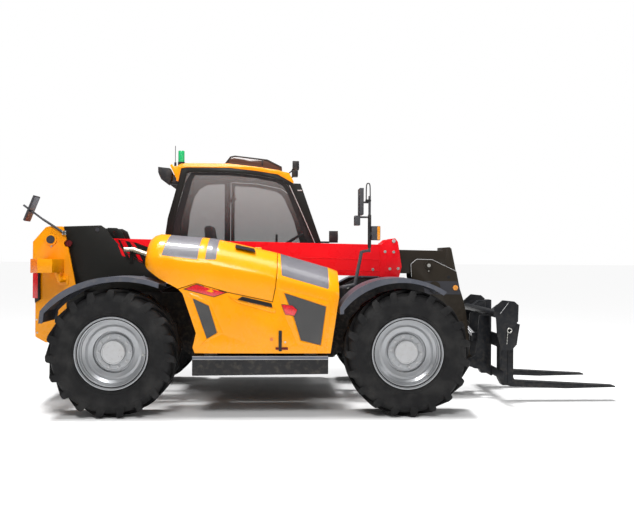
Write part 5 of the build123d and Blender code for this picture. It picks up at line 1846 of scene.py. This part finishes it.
@dataclass
class Carriage(SubAssembly):
    """Fixings on the fork carriage's side plates."""

    body = "fork_carriage"
    plate_y: float = 0.597
    lock: tuple[float, float] = (3.823, 0.747)
    # The lock's washer, as (radius, reach outward).
    washer: Outline = (
        (0.0165, 0.0), (0.0165, 0.006), (0.019, 0.008), (0.025, 0.008), (0.027, 0.006), (0.027, 0.0),
    )
    # The chain that hangs from the lock: its top, the step to the next link, and half the size of a link.
    links: int = 8
    link_top: Point = (-0.02, 0.006, -0.026)
    link_step: Point = (-0.001, 0.0, -0.0145)
    link_half: Point = (0.0012, 0.0032, 0.009)
    link_edge: float = 0.0011
    # A pale rod along the side plate's fold: a painted highlight of the fold's edge.
    fold: Outline = ((3.73, 0.917), (3.812, 1.024))
    fold_radius: float = 0.0028
    # Dark discs where the plate's holes are: painted shade of the holes.
    holes: Outline = ((3.864, 0.993), (3.754, 0.993))
    hole_radius: float = 0.0085

    def lock_piece(self, side: Side) -> Piece:
        """The lock's washer and its chain, whose links lie crosswise by turns.

        Args:
            side: The side plate's side.

        Returns:
            The washer and chain.
        """
        out, name = side.value, f"lock_washer_{side.tag}"
        (x, z), y = self.lock, out * self.plate_y
        profile = [(radius, reach * out) for radius, reach in self.washer]
        parts = [Bench.lathe(name, profile, at(x, y, z), 32, True)]
        for number in range(self.links):
            dx, dy, dz = (top + number * step for top, step in zip(self.link_top, self.link_step))
            spot, half = Vector(at(x + dx, y + dy * out, z + dz)), Vector(self.link_half)
            if number % 2:
                half.x, half.y = half.y, half.x
            parts.append(Bench.brick(f"link_{number}", spot - half, spot + half, self.link_edge))
        return Bench.join(name, parts)

    def build(self) -> None:
        """Builds the washers, chains, painted highlight lines along the folds, and dark discs painted for the
        holes, of both side plates.
        """
        for side in Side:
            out, tag, y = side.value, side.tag, side.value * self.plate_y
            self.place(self.lock_piece(side), Finish.ZINC)
            # A pale rod that paints the fold's highlight.
            self.place(Bench.trace(f"plate_fold_{tag}", [self.fold], y, self.fold_radius), Finish.SILVER_EDGE)
            # Dark discs: painted shade of the holes.
            rows = [
                (Bench.rod, ((x, y, z), (x, y + 0.001 * out, z)), self.hole_radius, 20) for x, z in self.holes
            ]
            self.place(Bench.cluster(f"plate_holes_{tag}", rows), Finish.SEAL)


# ---------------------------------------------------------------- tail and mirrors


@dataclass
class Fittings(SubAssembly):
    """Lenses, bolts and caps of the tail, mirrors and exhaust."""

    tail_y: float = 0.402
    tail_lens: tuple = ((Bench.brick, ((-0.9365, 0.404, 1.046), (-0.886, 0.434, 1.295)), 0.004),)
    box_lens: tuple = ((Bench.brick, ((-0.8435, 0.412, 1.3045), (-0.776, 0.7615, 1.4385)), 0.005),)
    small_bolts: Outline = (
        (-0.712, 1.378), (-0.68, 1.378), (-0.668, 1.255), (-0.607, 1.255), (-0.668, 1.195), (-0.607, 1.195),
        (-0.667, 1.079), (-0.905, 0.831), (-0.898, 0.7),
    )
    # Bolts of the mirror's bracket, which stands out from the right-hand plate.
    bracket_bolts: Outline = ((-0.648, 1.713), (-0.622, 1.713), (-0.648, 1.687), (-0.622, 1.687))
    bracket_out: float = 0.028
    # Radius and height of the tail's bolts.
    tail_bolt: tuple[float, float] = (0.006, 0.007)
    tail_nipple: tuple = ((Bench.rod, ((-0.7622, 0.402, 1.563), (-0.7622, 0.416, 1.563)), 0.008, 16, 0.003),)
    tail_rounds: tuple[Round, ...] = (
        Round("hose_clamp_{}", Finish.DARK_RED, -0.6, 1.593, 0.37, 0.398, 0.031, 32, 0.004),
        Round("tower_cap_{}", Finish.BAND, -0.334, 1.7364, 0.329, 0.334, 0.02, 32, 0.002),
    )
    mirror_panes: tuple = (
        (Bench.brick, ((2.2605, -1.032, 1.878), (2.264, -0.868, 2.109)), 0.001),
        (Bench.brick, ((2.2205, -1.003, 1.779), (2.224, -0.897, 1.855)), 0.001),
    )
    # The rear mirror's pane, as (x, z) of its upper and lower edge, its middle along Y and half width.
    rear_pane: Outline = ((-0.9045, 2.053), (-0.9995, 1.8155))
    rear_pane_y: float = -0.416
    rear_pane_half: float = 0.073
    rear_pane_depth: Point = (0.0025, 0.0, -0.001)
    indicator: tuple = ((Bench.brick, ((2.428, -0.9965, 1.6325), (2.4625, -0.9035, 1.7665)), 0.008),)
    # The front mast's loop, the joint under it and the sleeve.
    mast_loop: tuple = (
        (
            Bench.tube,
            (
                (2.3317, -0.95, 2.0), (2.331, -0.95, 2.13), (2.337, -0.95, 2.166), (2.3505, -0.95, 2.172),
                (2.364, -0.95, 2.166), (2.3692, -0.95, 2.13), (2.3692, -0.95, 2.0),
            ),
            0.0055, 8,
        ),
        (Bench.brick, ((2.324, -0.964, 1.995), (2.377, -0.936, 2.018)), 0.005),
        (Bench.rod, ((2.364, -0.95, 1.56), (2.364, -0.95, 1.872)), 0.0165, 20, 0.003),
    )
    # A flat dark disc at the pipe's end: painted shade of the pipe's inside.
    exhaust_mouth: tuple = ((Bench.rod, ((-0.041, -0.42, 1.536), (-0.03, -0.42, 1.536)), 0.0205, 32),)
    exhaust_bracket: tuple = (
        (Bench.brick, ((-0.005, -0.329, 1.399), (0.033, -0.3395, 1.551)), 0.001),
        (Bench.brick, ((-0.005, -0.33, 1.519), (0.033, -0.399, 1.551)), 0.001),
    )
    # Bolts on the frame by the front wheel, and their radius and height.
    frame_bolts: Outline = ((2.2217, 1.1632), (2.3542, 1.1637), (2.2961, 1.188))
    frame_bolt: tuple[float, float] = (0.011, 0.01)
    frame_y: float = -0.308

    def tail(self, side: Side) -> None:
        """Lenses, bolts and caps on one tail plate.

        Args:
            side: The plate's side.
        """
        out, tag, y = side.value, side.tag, side.value * self.tail_y
        self.place(Bench.cluster(f"tail_lens_{tag}", self.tail_lens, out), Finish.RED_LENS)
        self.place(Bench.cluster(f"box_lens_{tag}", self.box_lens, out), Finish.ORANGE)
        spots = flat(self.small_bolts, y)
        if side is Side.RIGHT:
            spots += flat(self.bracket_bolts, y - self.bracket_out)
        bolts = Bench.bolts(f"tail_bolts_{tag}", *self.tail_bolt, spots, out)
        nipple = Bench.cluster("nipple", self.tail_nipple, out)
        self.place(Bench.join(f"tail_bolts_{tag}", [bolts, nipple]), Finish.ZINC)
        self.rounds(self.tail_rounds, 0.0, side)

    def mirrors(self) -> None:
        """Mirror glass, indicator lens, and the loop and sleeve of the front mast."""
        (x0, z0), (x1, z1) = self.rear_pane
        low, high = self.rear_pane_y - self.rear_pane_half, self.rear_pane_y + self.rear_pane_half
        corners = [at(x0, low, z0), at(x0, high, z0), at(x1, high, z1), at(x1, low, z1)]
        front = Bench.cluster("front_panes", self.mirror_panes)
        rear = Bench.plate("rear_pane", corners, self.rear_pane_depth)
        self.place(Bench.join("mirror_panes", [front, rear]), Finish.MIRROR)
        self.place(Bench.cluster("indicator_lens", self.indicator), Finish.AMBER)
        self.place(Bench.cluster("mast_loop", self.mast_loop), Finish.TRIM)

    def exhaust(self) -> None:
        """A dark disc at the exhaust pipe's mouth, painting the shade of its inside, the pipe's black bracket,
        and the bolts on the frame.
        """
        self.place(Bench.cluster("exhaust_mouth", self.exhaust_mouth), Finish.SEAL)
        self.place(Bench.cluster("exhaust_bracket", self.exhaust_bracket), Finish.BLACK)
        bolts = Bench.bolts("frame_bolts", *self.frame_bolt, flat(self.frame_bolts, self.frame_y), -1)
        self.place(bolts, Finish.ZINC)

    def build(self) -> None:
        """Builds the fittings."""
        for side in Side:
            self.tail(side)
        self.mirrors()
        self.exhaust()


# ---------------------------------------------------------------- the studio


@dataclass
class Studio:
    """A pale floor, soft lamps and the camera."""

    eye: Point = (-0.406, -7.418, 1.459)
    heading: float = 2.68
    tilt: float = 0.49
    roll: float = 0.34
    lens: float = 39.14
    sensor: float = 36.0
    far_end: float = 200.0
    floor_size: float = 400.0
    floor_colour: tuple = (0.8, 0.8, 0.8, 1.0)
    world_power: float = 0.27
    # Sunlight through a wide soft box, as (name, where it comes from, power, width in degrees).
    sun: tuple = ("overhead_box", (-0.12, 0.1, 1.0), 2.9, 8.0)
    # Soft boxes, as (name, place, aim, width, depth, watts).
    boxes: tuple = (
        ("near_box", (-1.5, -6.0, 6.2), (0.2, -1.0, 0.8), 3.0, 1.6, 300.0),
        ("top_strip", (-0.8, -1.3, 6.0), (-0.8, -0.7, 0.0), 6.0, 1.6, 240.0),
        ("front_box", (7.0, -5.0, 3.5), (1.0, 0.0, 1.0), 3.0, 3.0, 70.0),
    )

    def camera(self) -> None:
        """Sets the camera at its height and heading."""
        yaw, pitch, roll = (math.radians(angle) for angle in (self.heading, self.tilt, self.roll))
        ahead = Vector((math.sin(yaw), math.cos(yaw), 0.0))
        right = Vector((math.cos(yaw), -math.sin(yaw), 0.0))
        up = Vector((0.0, 0.0, 1.0))
        view = math.cos(pitch) * ahead + math.sin(pitch) * up
        over = -math.sin(pitch) * ahead + math.cos(pitch) * up
        across = math.cos(roll) * right + math.sin(roll) * over
        upright = -math.sin(roll) * right + math.cos(roll) * over
        data = bpy.data.cameras.new("camera")
        data.lens, data.sensor_width, data.clip_end = self.lens, self.sensor, self.far_end
        camera = bpy.data.objects.new("camera", data)
        bpy.context.scene.collection.objects.link(camera)
        turn = Matrix((across, upright, -view)).transposed().to_4x4()
        camera.matrix_world = Matrix.Translation(self.eye) @ turn
        bpy.context.scene.camera = camera

    def floor(self) -> None:
        """Lays the floor: pale where lit, and it keeps the machine's shadow."""
        Bench.clear()
        bpy.ops.mesh.primitive_plane_add(size=self.floor_size)
        floor = Bench.named("floor")
        sheet = NodeSheet("floor_paper")
        matt = sheet.add("ShaderNodeBsdfDiffuse", {"Color": self.floor_colour}).outputs[0]
        sheet.add("ShaderNodeOutputMaterial", {"Surface": matt})
        floor.data.materials.append(sheet.material)

    def hang(self, data: bpy.types.Light, spot: Vector, way: Vector) -> None:
        """Hangs a lamp.

        Args:
            data: The lamp.
            spot: Where it hangs.
            way: The direction that it shines in.
        """
        lamp = bpy.data.objects.new(data.name, data)
        bpy.context.scene.collection.objects.link(lamp)
        lamp.matrix_world = Matrix.Translation(spot) @ way.to_track_quat("-Z", "Y").to_matrix().to_4x4()

    def light(self) -> None:
        """Hangs the lamps."""
        name, source, power, width = self.sun
        data = bpy.data.lights.new(name, "SUN")
        data.energy, data.angle = power, math.radians(width)
        self.hang(data, Vector(source) * 20.0, -Vector(source))
        for name, spot, aim, width, depth, watts in self.boxes:
            data = bpy.data.lights.new(name, "AREA")
            data.shape, data.size, data.size_y, data.energy = "RECTANGLE", width, depth, watts
            self.hang(data, Vector(spot), Vector(aim) - Vector(spot))

    def world(self) -> None:
        """Makes the world white paper to the camera, and dimmer as a light."""
        world = bpy.data.worlds.new("white_paper")
        world.use_nodes = True
        tree = world.node_tree
        back = tree.nodes["Background"]
        back.inputs["Color"].default_value = (1.0, 1.0, 1.0, 1.0)
        seen = tree.nodes.new("ShaderNodeLightPath").outputs["Is Camera Ray"]
        power = tree.nodes.new("ShaderNodeMapRange")
        tree.links.new(seen, power.inputs[0])
        power.inputs[3].default_value, power.inputs[4].default_value = self.world_power, 1.0
        tree.links.new(power.outputs[0], back.inputs["Strength"])
        bpy.context.scene.world = world
        bpy.context.scene.view_settings.view_transform = "Standard"

    def build(self) -> None:
        """Sets up camera, floor, lamps and world."""
        self.camera()
        self.floor()
        self.light()
        self.world()


def main() -> None:
    """Builds every sub-assembly in order and reports on it."""
    logging.basicConfig(level=logging.INFO, format="%(message)s")
    Studio().build()
    for assembly in (CarriedNodes(), Wheels(), Housing(), Cab(), Boom(), Carriage(), Fittings()):
        assembly.build()
        log.info("built %s", type(assembly).__name__)


if __name__ == "__main__":
    main()
